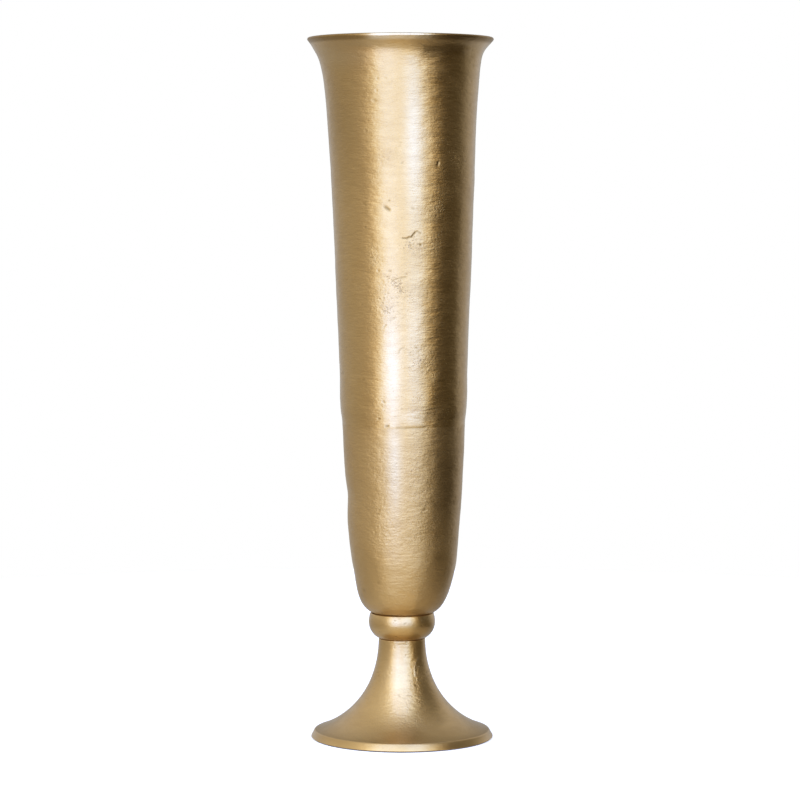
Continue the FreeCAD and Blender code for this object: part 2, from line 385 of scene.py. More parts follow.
# %% Making a piece from the mesh
def add_piece(name, node, points_mm, faces, material, sharp=None, values=None):
    mesh = bpy.data.meshes.new(name)
    mesh.from_pydata((points_mm * MM).tolist(), [], faces)
    mesh.update()
    mesh.polygons.foreach_set("use_smooth", np.ones(len(mesh.polygons), bool))
    if sharp is not None:
        ends = np.zeros(len(mesh.edges) * 2, int)
        mesh.edges.foreach_get("vertices", ends)
        crisp = mesh.attributes.new("sharp_edge", "BOOLEAN", "EDGE")
        crisp.data.foreach_set("value", sharp(*ends.reshape(-1, 2).T))
    for key, value in (values or {}).items():
        mesh.attributes.new(key, "FLOAT", "POINT").data.foreach_set("value", value.ravel().astype(np.float32))
    piece = bpy.data.objects.new(name, mesh)
    bpy.context.scene.collection.objects.link(piece)
    piece.data.materials.append(material)
    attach(piece, "root")
    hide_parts(node)
    triangles = sum(len(f) - 2 for f in faces)
    print(f"{name}: {len(mesh.vertices)} points, {triangles} triangles")
    return piece


# %% Placing the points of a turned piece
# How far the axis strays to the right at each height, because the castings were brazed by hand.
BOW_HEIGHTS = (125.0, 155.0, 215.0, 280.0, 440.0, 480.0, 520.0, 560.0, 580.0, 590.0, 603.0)
BOW_OFFSETS = (0.0, 0.8, 1.8, 1.5, 1.1, 0.8, 0.1, -0.4, -0.7, -1.5, -2.6)
BOW_SOFTNESS = 5.0
LIP_HELD = (597.0, 607.0)  # the bow is let go between these heights, at the left end only
LEFT_END = (0.35, 1.0)  # sine of the angle to the left


def bow(height):
    """Small steps between the listed heights, each eased so that there is no kink."""
    total = np.zeros(np.shape(height))
    for low, high, a, b in zip(BOW_HEIGHTS, BOW_HEIGHTS[1:], BOW_OFFSETS, BOW_OFFSETS[1:]):
        total = total + (b - a) * ease(height, low - BOW_SOFTNESS, high + BOW_SOFTNESS)
    return total


def placed(radius, height, angle):
    """x = r sin a + bow, y = -r cos a, z = h, so that angle 0 is the front. The lip's left end keeps
    its true place, so that the bow takes nothing outside the real width."""
    radius, height, angle = np.broadcast_arrays(radius, height, angle)
    held = ease(height, *LIP_HELD) * ease(-np.sin(angle), *LEFT_END)
    x = radius * np.sin(angle) + bow(height) * (1 - held)
    return np.stack([x, -radius * np.cos(angle), height], axis=-1).reshape(-1, 3)


def turned(name, node, outline, count, crowding, skin_of, material):
    """The outline swept once round, its points moved along the outline's normal by the skin's push."""
    angle = angles_round(count, crowding)[None, :]
    radius, height = outline[:, :1], outline[:, 1:]
    normal = outline_normals(outline)
    skin = {"angle": angle, "radius": radius, "height": height, "shape": (len(outline), count)}
    values = {key: np.broadcast_to(value, skin["shape"]) for key, value in skin_of(skin).items()}
    push = values.pop("push")
    points = placed(radius + normal[:, :1] * push, height + normal[:, 1:] * push, angle)
    corners = corner_rows(outline)

    def sharp(start, end):
        return (start // count == end // count) & np.isin(start // count, corners)

    faces = ring_faces(len(outline), count, closed=True).tolist()
    return add_piece(name, node, points, faces, material, sharp, values)


# %% [markdown]
# ## Effects that the finishes share
# Three effects are used by more than one material, so each is a node group with named sockets. They
# read Object coordinates, which stay on the piece: fine lines that run round it, as a lathe tool or a
# sanding belt leaves, small pores, and slow drifts of tone. Painted image textures could do the same,
# but noise has no seams and needs no unwrapping.

# %% Building node trees
def fresh_tree(owner):
    owner.use_nodes = True
    owner.node_tree.nodes.clear()
    return owner.node_tree


def add(tree, kind, inputs=None, **settings):
    """A node with its settings, and its sockets linked or set by name or number."""
    node = tree.nodes.new(kind)
    for key, value in settings.items():
        setattr(node, key, value)
    for key, value in (inputs or {}).items():
        if isinstance(value, bpy.types.NodeSocket):
            tree.links.new(value, node.inputs[key])
        else:
            node.inputs[key].default_value = value
    return node


def new_group(name, ins, outs):
    """A node group with numbers as named inputs and outputs."""
    group = bpy.data.node_groups.new(name, "ShaderNodeTree")
    for socket, default in ins.items():
        made = group.interface.new_socket(socket, in_out="INPUT", socket_type="NodeSocketFloat")
        made.default_value = default
    for socket in outs:
        group.interface.new_socket(socket, in_out="OUTPUT", socket_type="NodeSocketFloat")
    return group, group.nodes.new("NodeGroupInput").outputs, group.nodes.new("NodeGroupOutput").inputs


def math_node(tree, operation, *numbers, clamp=False):
    """One sum, with its two or three numbers linked or set."""
    sockets = dict(enumerate(numbers))
    return add(tree, "ShaderNodeMath", sockets, operation=operation, use_clamp=clamp).outputs[0]


def map_range(tree, value, low, high, to_low, to_high):
    sockets = {"Value": value, "From Min": low, "From Max": high, "To Min": to_low, "To Max": to_high}
    return add(tree, "ShaderNodeMapRange", sockets).outputs[0]


def on_piece(tree):
    """Object coordinates, which stay on the piece."""
    return add(tree, "ShaderNodeTexCoord").outputs["Object"]


def scaled_noise(tree, across, upwards, detail, roughness=0.5):
    """Noise on Object coordinates, with its own number of features per metre across and up."""
    scale = add(tree, "ShaderNodeCombineXYZ", {"X": across, "Y": across, "Z": upwards}).outputs[0]
    stretched = add(tree, "ShaderNodeVectorMath", {0: on_piece(tree), 1: scale}, operation="MULTIPLY")
    sockets = {"Vector": stretched.outputs[0], "Scale": 1.0, "Detail": detail, "Roughness": roughness}
    return add(tree, "ShaderNodeTexNoise", sockets).outputs["Fac"]


# %% Lines left by turning
turning_lines, given, wanted = new_group(
    "turning_lines", {"Lines per metre": 700.0, "Breaks per metre": 30.0}, ["Height", "Streaks"]
)
fewer_lines = math_node(turning_lines, "MULTIPLY", given["Lines per metre"], 0.3)
fewer_breaks = math_node(turning_lines, "MULTIPLY", given["Breaks per metre"], 0.5)
fine = scaled_noise(turning_lines, given["Breaks per metre"], given["Lines per metre"], 2.0)
broad = scaled_noise(turning_lines, fewer_breaks, fewer_lines, 3.0, 0.6)
both = math_node(turning_lines, "MULTIPLY_ADD", broad, 1.6, fine)
turning_lines.links.new(both, wanted["Height"])
turning_lines.links.new(broad, wanted["Streaks"])
print("group", turning_lines.name, "made")

# %% Pores of the casting
pores, given, wanted = new_group("pores", {"Pores per metre": 600.0, "Amount": 0.5}, ["Height", "Mask"])
cell_sockets = {"Vector": on_piece(pores), "Scale": given["Pores per metre"], "Randomness": 1.0}
from_centre = add(pores, "ShaderNodeTexVoronoi", cell_sockets).outputs["Distance"]
widest = map_range(pores, scaled_noise(pores, 90.0, 90.0, 2.0), 0.62, 0.38, 0.0, 0.34)
reach = math_node(pores, "MULTIPLY", widest, given["Amount"])
inside = math_node(pores, "SUBTRACT", reach, from_centre)
mask = math_node(pores, "MULTIPLY", inside, 6.0, clamp=True)
pores.links.new(mask, wanted["Mask"])
pores.links.new(math_node(pores, "MULTIPLY", mask, -1.0), wanted["Height"])
print("group", pores.name, "made")

# %% Slow drifts of tone
tone_drift, given, wanted = new_group("tone_drift", {"Drifts per metre": 18.0}, ["Tone", "Fine tone"])
drifts = given["Drifts per metre"]
squeezed = math_node(tone_drift, "MULTIPLY", drifts, 0.6)
far_finer = math_node(tone_drift, "MULTIPLY", drifts, 14.0)
tone_drift.links.new(scaled_noise(tone_drift, drifts, squeezed, 3.0, 0.55), wanted["Tone"])
tone_drift.links.new(scaled_noise(tone_drift, far_finer, far_finer, 4.0, 0.7), wanted["Fine tone"])
print("group", tone_drift.name, "made")

# %% [markdown]
# ## Gold lacquer over turned aluminium
# The metal is left with the lines of the lathe, then sprayed with a transparent gold lacquer. Three
# things make it read as satin gold: a warm metal that is rough enough to blur the panels, a clear
# coat that adds a whiter glint on top, and bump at three scales. The lines spread the light up and down
# more than sideways, so the metal is also anisotropic. Where the skin is sandy it is duller. Its pits,
# cracks and joint lines, and painted shade, are browner with less of the coat, and painted highlights
# are paler.

# %% Building a finish
def started(name):
    """The empty tree of a new material."""
    return fresh_tree(bpy.data.materials.new(name))


def spaced_names(sockets):
    """Base_Color, as Python has to write it, is the socket Base Color."""
    return {key.replace("_", " "): value for key, value in sockets.items()}


def use_group(tree, group, **inputs):
    return add(tree, "ShaderNodeGroup", spaced_names(inputs), node_tree=group).outputs


def mixed(tree, factor, a, b):
    """Colour a where the factor is 0 and b where it is 1. Sockets 6 and 7 of the node are its colours."""
    return add(tree, "ShaderNodeMix", {"Factor": factor, 6: a, 7: b}, data_type="RGBA").outputs[2]


def carried(tree, name):
    """A value that the points of the piece carry."""
    return add(tree, "ShaderNodeAttribute", attribute_name=name).outputs["Fac"]


def bump(tree, height, depth_mm, before=None):
    """A bump of so many millimetres, laid over the one before it."""
    sockets = {"Height": height, "Distance": depth_mm * MM, "Strength": 1.0}
    if before is not None:
        sockets["Normal"] = before
    return add(tree, "ShaderNodeBump", sockets).outputs[0]


def finished(name, **sockets):
    """The started material, whose Principled shader has these sockets, linked or set."""
    material = bpy.data.materials[name]
    skin = add(material.node_tree, "ShaderNodeBsdfPrincipled", spaced_names(sockets))
    add(material.node_tree, "ShaderNodeOutputMaterial", {"Surface": skin.outputs[0]})
    return material


# %% Gold finish of the castings
GOLD = (0.58, 0.38, 0.142, 1.0)
GOLD_DEEP = (0.49, 0.305, 0.1, 1.0)
GOLD_PALE = (0.62, 0.42, 0.175, 1.0)
# Browner gold of pits, cracks and joint lines, also used as painted shade
GOLD_DARK_MARKS_AND_SHADE = (0.18, 0.105, 0.035, 1.0)
# Paler gold, used as painted highlight
GOLD_PAINTED_HIGHLIGHT = (0.67, 0.54, 0.33, 1.0)
MIDDLE_TONES = (0.35, 0.65)  # most of the noise lies between these
WIDER_TONES = (0.3, 0.7)
PORE_DEPTH_MM = 0.12


def gold_material(name, lines_per_metre, line_depth_mm, grain_depth_mm, roughness, coat_roughness):
    tree = started(name)
    sandy, marks_and_painted_shade, painted_highlight = carried(tree, "sandy"), carried(tree, "marks_and_painted_shade"), carried(tree, "painted_highlight")
    pore_amount = math_node(tree, "ADD", math_node(tree, "MULTIPLY", carried(tree, "porous"), 1.5), 0.5)
    lines = use_group(tree, turning_lines, Lines_per_metre=lines_per_metre, Breaks_per_metre=150.0)
    grain = use_group(tree, pores, Pores_per_metre=650.0, Amount=pore_amount)
    drift = use_group(tree, tone_drift, Drifts_per_metre=16.0)

    lacquer = mixed(tree, map_range(tree, drift["Tone"], *MIDDLE_TONES, 0.0, 1.0), GOLD_DEEP, GOLD_PALE)
    lacquer = mixed(tree, 0.45, GOLD, lacquer)
    lacquer = mixed(tree, map_range(tree, lines["Streaks"], *WIDER_TONES, 0.0, 0.35), lacquer, GOLD_DEEP)
    # Painted highlight: a paler lacquer
    lacquer = mixed(tree, math_node(tree, "MULTIPLY", painted_highlight, 0.8), lacquer, GOLD_PAINTED_HIGHLIGHT)
    # Browner lacquer in pits, cracks, joint lines and pores, and painted shade
    darkened = math_node(tree, "MAXIMUM", marks_and_painted_shade, math_node(tree, "MULTIPLY", grain["Mask"], 0.4))
    lacquer = mixed(tree, darkened, lacquer, GOLD_DARK_MARKS_AND_SHADE)

    rough = math_node(tree, "ADD", map_range(tree, lines["Streaks"], *WIDER_TONES, -0.05, 0.05), roughness)
    rough = math_node(tree, "ADD", rough, math_node(tree, "MULTIPLY", sandy, 0.12))
    rough = math_node(tree, "ADD", rough, math_node(tree, "MULTIPLY", marks_and_painted_shade, 0.05), clamp=True)

    sand = math_node(tree, "MULTIPLY", scaled_noise(tree, 520.0, 640.0, 2.0, 0.6), sandy)
    relief = bump(tree, lines["Height"], line_depth_mm)
    relief = bump(tree, sand, grain_depth_mm, relief)
    relief = bump(tree, grain["Height"], PORE_DEPTH_MM, relief)
    return finished(
        name,
        Base_Color=lacquer,
        Metallic=1.0,
        Roughness=rough,
        Anisotropic=0.5,
        Anisotropic_Rotation=0.25,
        Coat_Weight=map_range(tree, marks_and_painted_shade, 0.0, 0.6, 0.7, 0.1),
        Coat_Roughness=coat_roughness,
        Coat_IOR=1.5,
        Normal=relief,
        Tangent=add(tree, "ShaderNodeTangent", direction_type="RADIAL", axis="Z").outputs[0],
    )


# Lines per metre, depth of the lines and of the grain in mm, roughness of the metal and of its coat.
gold_turned = gold_material("gold_turned", 620.0, 0.2, 0.28, 0.32, 0.2)
gold_sanded = gold_material("gold_sanded", 520.0, 0.26, 0.3, 0.39, 0.3)
gold_smooth = gold_material("gold_smooth", 700.0, 0.1, 0.3, 0.32, 0.2)
print("gold finishes:", gold_turned.name, gold_sanded.name, gold_smooth.name)

# %% [markdown]
# ## The skin of the body
# Over the whole body lies a slow wander of a few tenths of a millimetre, as hand dressing leaves,
# then smaller unevenness and the waves of a chattering tool. The bowl casting was hardly dressed: its
# middle keeps the ripples of the mould, short wavy ridges that run round it. Each joint shows as a
# hairline that was filed smooth in places. The marks are lists, so that one can be moved or left out
# without touching the arithmetic.

# %% Marks on the body
# Most marks were found in the photograph. The place, size and depth of each are listed.
# Rows of dents are: depth, angle, height, length, width, and tilt if it is turned.
BODY_DENTS = [
    (0.45, -17.5, 572.3, 0.8, 0.8), (0.45, -18.6, 562.1, 0.8, 0.8), (0.3, -16.2, 502.4, 1.0, 0.7),
    (0.9, 28.7, 500.8, 0.9, 2.0, -15), (0.5, 34.4, 592.7, 0.9, 0.7), (1.0, -12.9, 462.7, 3.4, 1.35, -35),
    (0.7, -11.2, 469.4, 0.9, 0.8), (0.45, 8.0, 462.7, 1.5, 1.0, -20), (0.4, -32.8, 446.5, 1.0, 0.8),
    (0.9, 14.4, 431.8, 0.9, 0.8), (0.6, 6.0, 431.0, 0.8, 0.7), (0.5, -21.5, 409.9, 0.9, 0.8),
    (0.6, -11.5, 409.5, 1.4, 0.6), (0.4, -7.8, 404.2, 0.9, 0.6), (0.4, 2.7, 407.0, 0.8, 0.7),
    (0.45, -16.0, 362.8, 2.0, 0.7, 40), (0.4, -8.1, 369.3, 1.6, 0.7, 25), (0.5, -23.7, 283.0, 1.2, 0.9),
    (0.5, -18.5, 297.7, 1.6, 0.8, -40), (0.9, -15.5, 276.9, 1.8, 0.9, 10),
]
# Rows of grooves are: depth, width, and the places that it runs through. The first two are one crack.
BODY_GROOVES = [
    (1.0, 0.7, (-0.5, 437.5), (3.0, 437.3), (4.6, 438.3), (6.7, 438.4), (8.3, 440.5), (9.8, 442.6)),
    (0.7, 0.6, (9.8, 442.6), (11.6, 443.2), (14.5, 441.7)),
    (0.6, 0.6, (-8.7, 401.8), (-4.9, 403.1), (-1.4, 404.1), (2.0, 404.7)),
    (0.4, 0.7, (-4.0, 339.9), (-3.2, 342.3), (-1.8, 343.7), (0.4, 344.2)),
    (0.4, 0.7, (10.6, 344.6), (12.2, 343.6), (13.6, 341.2)),
    (0.36, 1.1, (-6.0, 275.6), (0.0, 275.2), (9.0, 275.4), (20.0, 275.2)),
]
# Rows of patches are: amount, angle, height, how wide in degrees, how high.
SWELLS = [
    (0.25, 35.0, 500.0, 9.0, 11.0), (-0.25, 33.0, 446.0, 9.0, 12.0), (0.2, -38.0, 452.0, 12.0, 10.0),
    (0.3, 22.0, 297.0, 8.0, 9.0), (0.22, 31.0, 319.0, 5.0, 4.0), (-0.25, 24.0, 284.0, 8.0, 6.0),
    (-1.5, -90.0, 213.0, 35.0, 13.0), (0.3, 90.0, 500.0, 50.0, 90.0),
]
POROUS = [
    (1.0, 7.5, 431.0, 7.5, 6.5), (0.9, -7.0, 394.0, 13.0, 11.0), (0.8, -14.0, 375.5, 10.0, 8.0),
    (0.7, -27.0, 421.0, 5.0, 9.0), (0.6, 28.0, 431.0, 6.0, 8.0), (0.6, 9.0, 334.0, 8.0, 9.0),
    (0.6, 13.0, 362.0, 4.0, 5.0), (0.6, 29.0, 318.9, 5.0, 5.0), (0.5, 28.0, 462.0, 8.0, 12.0),
    (0.5, 50.0, 505.0, 8.0, 12.0), (0.4, 2.0, 300.0, 16.0, 14.0),
]
SPECKLED = [
    (0.8, -9.8, 385.0, 15.0, 24.0), (0.9, 8.0, 431.0, 8.0, 7.0), (0.9, -27.0, 422.0, 6.0, 10.0),
    (0.9, 28.0, 431.0, 6.0, 10.0), (0.9, 27.3, 460.8, 8.0, 9.0), (0.8, 50.7, 504.5, 9.0, 11.0),
    (0.6, 7.0, 341.4, 12.0, 6.0), (0.9, 29.0, 318.9, 5.0, 5.0),
]
# Painted highlights: paler lacquer patches where the panels are mirrored
PAINTED_HIGHLIGHTS_ABOVE = [(0.75, -9.5, 325.0, 9.0, 64.0), (0.5, 4.0, 285.0, 22.0, 7.0)]  # only above the lower joint
PAINTED_HIGHLIGHTS_BELOW = [(0.8, -9.0, 245.0, 7.0, 40.0)]  # only below it
PAINTED_HIGHLIGHTS = [(0.6, 9.0, 520.0, 7.0, 60.0), (0.3, 9.0, 345.0, 9.0, 60.0), (0.35, -45.0, 592.0, 25.0, 9.0)]
# Painted shade: darker, less coated lacquer patches that deepen the dark reflections
PAINTED_SHADE_PATCHES = [(0.28, -50.0, 540.0, 28.0, 60.0), (0.5, 48.0, 230.0, 17.0, 40.0)]
LIP_FREE = (596.0, 606.0)  # the relief dies away towards the lip
PAINTED_LIP_LIGHT = (-24.0, -14.0, 16.0, 27.0)  # degrees: painted highlight between the middle two, painted shade outside them
FAULT_DEPTH, PIT_DEPTH, JOINT_DEPTH = 0.45, 0.22, 0.06
BODY_PITS = 70
print("marks on the body:", len(BODY_DENTS), "dents and", len(BODY_GROOVES), "grooves")

# %% Relief of the body
def layer(skin, depth, cells_round, cell_height, seed):
    """One layer of noise over the skin, so many millimetres deep."""
    return depth * smooth_noise(skin["angle"], skin["height"], cells_round, cell_height, seed)


def joint_line(skin, height, seed):
    """A hairline at a joint, filed away in most places and open in a few."""
    shown = ease(smooth_noise(skin["angle"], skin["height"] * 0, 14, 1.0, seed), 0.0, 0.4)
    return np.exp(-(((skin["height"] - height) / 0.7) ** 2)) * (0.08 + 0.6 * shown)


def body_swells(skin):
    """Broad shallow places that bend the reflections, in millimetres out of the round. The middle
    casting is a little wide at its lower end, and the bowl is a little to the right of its bore."""
    height = skin["height"]
    wide_end = ease(height, LOWER_JOINT + 1.0, LOWER_JOINT + 15.0) * (1 - ease(height, 294.0, 326.0))
    wide_end = wide_end * (0.1 + 0.8 * np.sin(skin["angle"]) ** 2)
    to_the_right = 1.35 * np.exp(-(((height - 146.0) / 26.0) ** 2)) * np.sin(skin["angle"])
    return np.sum(patches(skin, SWELLS), axis=0) + wide_end + to_the_right


def body_skin(skin):
    """The push, and the four values that the finish reads."""
    angle, height = skin["angle"], skin["height"]
    outside = ease(skin["radius"] - skin_radius(height), -1.2, -0.3)
    free = 1 - ease(height, *LIP_FREE)
    slow = layer(skin, 0.5, 7, 60.0, 11) + layer(skin, 0.2, 15, 24.0, 14)
    uneven = layer(skin, 0.12, 34, 9.0, 12) + layer(skin, 0.06, 64, 3.4, 15)
    chatter = layer(skin, 0.03, 16, 3.4, 13)
    rippled = window(height, 178.0, 250.0, 16.0) * (0.75 + layer(skin, 1.0, 9, 34.0, 21))
    bent = height + layer(skin, 1.6, 30, 9.0, 22)
    ripples = rippled * 0.14 * smooth_noise(angle, bent, 90, 1.9, 23)
    calm = patch(skin, (52.0, 225.0), 22.0, 50.0)
    mottled = 0.4 * ease(layer(skin, 1.0, 9, 38.0, 24), 0.12, 0.45) * (height > LOWER_JOINT)
    speckled = np.maximum.reduce([*patches(skin, SPECKLED), mottled])
    grit = layer(skin, 1.0, 150, 1.9, 25)
    pits = scattered(skin, BODY_PITS, 120.0, 600.0, 0.5, 1.3, 31)
    faults = np.maximum.reduce(dents(skin, BODY_DENTS) + grooves(skin, BODY_GROOVES))
    joints = np.maximum(joint_line(skin, UPPER_JOINT, 41), joint_line(skin, LOWER_JOINT, 42))
    speckle = speckled * 0.19 * grit
    raised = slow + uneven + chatter + (1 - 0.6 * calm) * ripples + speckle + body_swells(skin)
    push = raised - FAULT_DEPTH * faults - PIT_DEPTH * pits - JOINT_DEPTH * joints

    sandy = np.clip(0.3 + 0.8 * rippled + 0.8 * speckled + 0.25 * window(height, 112.0, 265.0, 10.0), 0, 1)
    inside_sandy = 0.7 * (1 - outside) * free
    rough_spots = speckled * ease(-grit, 0.15, 0.5)
    # Darker pits, cracks and joint lines, and painted shade in the troughs of the speckle
    marks_and_painted_shade = np.maximum.reduce([0.75 * faults, 0.35 * pits, 0.12 * joints, 0.45 * rough_spots])
    # The lip: a painted highlight across its front, painted shade on the rest, and a darker nick
    lip = ease(height, 603.5, 606.0)
    left_out, left_in, right_in, right_out = np.radians(PAINTED_LIP_LIGHT)
    painted_lip_light = ease(angle, left_out, left_in) * (1 - ease(angle, right_in, right_out))
    nick = dent(skin, (21.0, 606.4), 1.6, 1.4)
    # Painted highlights, and a painted highlight on the front of the lip
    painted_highlight_amount = np.maximum.reduce([
        *(painted_highlight * (height > LOWER_JOINT) for painted_highlight in patches(skin, PAINTED_HIGHLIGHTS_ABOVE)),
        *(painted_highlight * (height < LOWER_JOINT) for painted_highlight in patches(skin, PAINTED_HIGHLIGHTS_BELOW)),
        *patches(skin, PAINTED_HIGHLIGHTS),
        0.9 * lip * painted_lip_light,
    ])
    return {
        "push": outside * free * push,
        "sandy": outside * (sandy * (1 - 0.8 * calm)) + inside_sandy,
        "marks_and_painted_shade": np.maximum(
            outside * np.maximum(marks_and_painted_shade, sum(patches(skin, PAINTED_SHADE_PATCHES))),
            0.6 * lip * np.maximum(1 - painted_lip_light, nick),
        ),
        "painted_highlight": outside * painted_highlight_amount,
        "porous": outside * np.maximum.reduce(patches(skin, POROUS)),
    }


# %% [markdown]
# ## The three castings of the body
# Each is cut from the one outline. At a joint the upper casting goes down inside the lower one by the
# length of the lap, so each ends in a step: a spigot below and a socket above. These hidden faces are
# left plain, because the castings have to fit there.

# %% Outlines of the three castings
INSIDE_GAP = 3.6
LAP_GAP = 1.2
LIP_GAP = 0.45
FLOOR_GAP = 2.5


def mid_wall(height):
    return skin_radius(height) - WALL / 2


def inner_wall(height):
    return point(np.interp(height, body_inside[:, 1], body_inside[:, 0]), height)


def spigot_below(height, outer):
    """From the inner wall out along the end of a spigot, up its side, and out along the shoulder."""
    radius, end = mid_wall(height) - LAP_CLEARANCE, height - LAP_LENGTH
    return straight(LAP_GAP, inner_wall(end), (radius, end), (radius, height), outer)


def socket_above(height, outer):
    """From the outer wall in along the shoulder, down the socket's side, and in along its ledge."""
    radius, ledge = mid_wall(height), height - LAP_LENGTH - LAP_END_GAP
    return straight(LAP_GAP, outer, (radius, height), (radius, ledge), inner_wall(ledge))


def outside_run(*heights_and_gaps):
    """The outside between successive heights, each stretch with its own gap between rows."""
    heights, gaps = heights_and_gaps[::2], heights_and_gaps[1::2]
    runs = [spaced(between(body_outside, a, b), g) for a, b, g in zip(heights, heights[1:], gaps)]
    return np.vstack(runs)


def inside_run(low, high):
    return spaced(between(body_inside, low, high)[::-1], INSIDE_GAP)


mouth_side = outside_run(UPPER_JOINT, 0.6, UPPER_JOINT + 14, 0.85, body_outside[-1, 1])
middle_side = outside_run(LOWER_JOINT, 0.8, 355.0, 0.7, UPPER_JOINT)
bowl_side = outside_run(SEAT, 0.9, 160.0, 0.52, LOWER_JOINT)
mouth_outline = loop(
    mouth_side,
    spaced(lip, LIP_GAP),
    inside_run(UPPER_JOINT - LAP_LENGTH, body_inside[-1, 1]),
    spigot_below(UPPER_JOINT, mouth_side[0]),
)
middle_outline = loop(
    middle_side,
    socket_above(UPPER_JOINT, middle_side[-1]),
    inside_run(LOWER_JOINT - LAP_LENGTH, UPPER_JOINT - LAP_LENGTH - LAP_END_GAP),
    spigot_below(LOWER_JOINT, middle_side[0]),
)
hole_top, hole_end = (BOLT_HOLE, FLOOR_TOP), (BOLT_HOLE, SEAT - SPIGOT_LENGTH)
spigot_end, spigot_root = (SPIGOT, SEAT - SPIGOT_LENGTH), (SPIGOT, SEAT)
bowl_outline = loop(
    bowl_side,
    socket_above(LOWER_JOINT, bowl_side[-1]),
    inside_run(FLOOR_TOP, LOWER_JOINT - LAP_LENGTH - LAP_END_GAP),
    straight(FLOOR_GAP, floor_edge, hole_top, hole_end, spigot_end, spigot_root, seat_edge),
)
print("rows:", len(mouth_outline), len(middle_outline), len(bowl_outline))

# %% Turn the three castings
FRONT_CROWDING = 0.5
BODY_CASTINGS = [
    ("mouth_casting", "mouth_section", mouth_outline, 320, gold_turned),
    ("middle_casting", "middle_section", middle_outline, 336, gold_turned),
    ("bowl_casting", "bowl_section", bowl_outline, 270, gold_sanded),
]
for name, node, outline, columns, finish in BODY_CASTINGS:
    turned(name, node, outline, columns, FRONT_CROWDING, body_skin, finish)

# %% [markdown]
# ## Knop
# A bored bead, turned smoother than the body, so it shows the panels most clearly. It is two arcs that
# meet upright at the belly. Its bore and its two ends are hidden, and are left plain.

# %% Swelling arcs and eased corners
CORNER_STEPS = 7


def swell(widest, end):
    """Arc that is upright at its widest point and passes through the end: radius (o^2 + h^2) / 2o."""
    out, high = widest[0] - end[0], end[1] - widest[1]
    radius = (out * out + high * high) / (2 * out)
    centre = widest - point(radius, 0)
    return arc(centre, radius, 90, math.degrees(math.atan2(*(end - centre))))


def eased_corner(before, corner, after, cut):
    """Parabola from one side of a corner to the other: (1-t)^2 a + 2(1-t)t corner + t^2 b."""
    before, corner, after = (np.asarray(p, float) for p in (before, corner, after))
    a = corner + (before - corner) * cut / np.hypot(*(before - corner))
    b = corner + (after - corner) * cut / np.hypot(*(after - corner))
    t = np.linspace(0, 1, CORNER_STEPS)[:, None]
    return (1 - t) ** 2 * a + 2 * (1 - t) * t * corner + t**2 * b


# %% Knop
KNOP_BORE = 12.0
KNOP_EDGE = 1.1
KNOP_GAP, BORE_GAP = 0.45, 2.0
KNOP_COLUMNS, KNOP_CROWDING = 300, 0.4
KNOP_PIT_DEPTH = 0.22
KNOP_DENTS = [(0.8, -12.2, 106.1, 1.0, 0.7), (0.5, -4.2, 107.8, 1.2, 0.5), (0.5, 6.8, 104.0, 0.7, 0.6)]
knop_belly = point(29.1, STEM_TOP + 14.4)
knop_top = point(27.7, SEAT)
knop_foot = point(19.6, STEM_TOP)
lower_arc, upper_arc = swell(knop_belly, knop_foot)[::-1], swell(knop_belly, knop_top)
upper_arc = upper_arc[np.hypot(*(upper_arc - knop_top).T) > KNOP_EDGE]
knop_bore = [(KNOP_BORE, SEAT), (KNOP_BORE, STEM_TOP)]
knop_outline = loop(
    spaced(lower_arc, KNOP_GAP),
    spaced(upper_arc, KNOP_GAP),
    eased_corner(upper_arc[-1], knop_top, (KNOP_BORE, SEAT), KNOP_EDGE),
    straight(BORE_GAP, knop_top - point(KNOP_EDGE + 0.4, 0), *knop_bore, knop_foot),
)


def knop_skin(skin):
    outside = window(skin["height"], STEM_TOP + 1.0, SEAT - 1.6, 0.9) * ease(skin["radius"], 18.5, 20.5)
    uneven = layer(skin, 0.05, 10, 9.0, 51) + layer(skin, 0.014, 26, 2.4, 52)
    pits = np.maximum.reduce([*dents(skin, KNOP_DENTS), scattered(skin, 14, 90.0, 108.0, 0.4, 0.8, 53)])
    push = outside * (uneven + layer(skin, 0.02, 100, 1.5, 54) - KNOP_PIT_DEPTH * pits)
    # Painted highlight: paler lacquer across the top of the bead
    painted_highlight = 0.5 * patch(skin, (-3.0, 104.8), 20.0, 4.0)
    return {
        "push": push - 0.03 * outside,
        "sandy": 0.4 * outside,
        "marks_and_painted_shade": 0.6 * pits * outside,
        "painted_highlight": painted_highlight * outside,
    }


turned(
    "bead_knop", "knop", knop_outline, KNOP_COLUMNS, KNOP_CROWDING, knop_skin, gold_smooth
)

# %% [markdown]
# ## Foot
# The foot is one hollow casting. Its stem sweeps out to a skirt, and the skirt ends in a short splayed
# band. The inside keeps the wall even. On the stem the casting has a fault, a raised ragged seam with
# a hollow beside it, and its top edge is lumpy where it was filed to fit the knop.

# %% Outline of the foot
FOOT_WALL = 4.0
BAND_RADIUS = 79.8
BAND_EDGE, SKIRT_EDGE, STEM_EDGE = 0.6, 1.0, 0.9  # how far the corners are eased
LAND_INNER = BAND_RADIUS - 8.5
OUTSIDE_GAP, HOLLOW_GAP, WEB_GAP, LAND_GAP = 0.6, 2.6, 2.2, 1.2
stem_edge = point(20.4, STEM_TOP)
skirt_edge = point(76.6, FOOT_BASE + 5.9)
band_foot = point(BAND_RADIUS, FOOT_BASE)
foot_sweep = (skirt_edge, -73.0, 24.5, stem_edge, -0.8, 51.0)
foot_outside = sweep(*foot_sweep)
foot_inside = swept_inside(*foot_sweep, FOOT_WALL)
hollow_top = point(np.interp(WEB_UNDERSIDE, *foot_inside.T[::-1]), WEB_UNDERSIDE)
foot_inside = foot_inside[(foot_inside[:, 0] < LAND_INNER) & (foot_inside[:, 1] < WEB_UNDERSIDE - 3.0)]
from_skirt, from_stem = (np.hypot(*(foot_outside - edge).T) for edge in (skirt_edge, stem_edge))
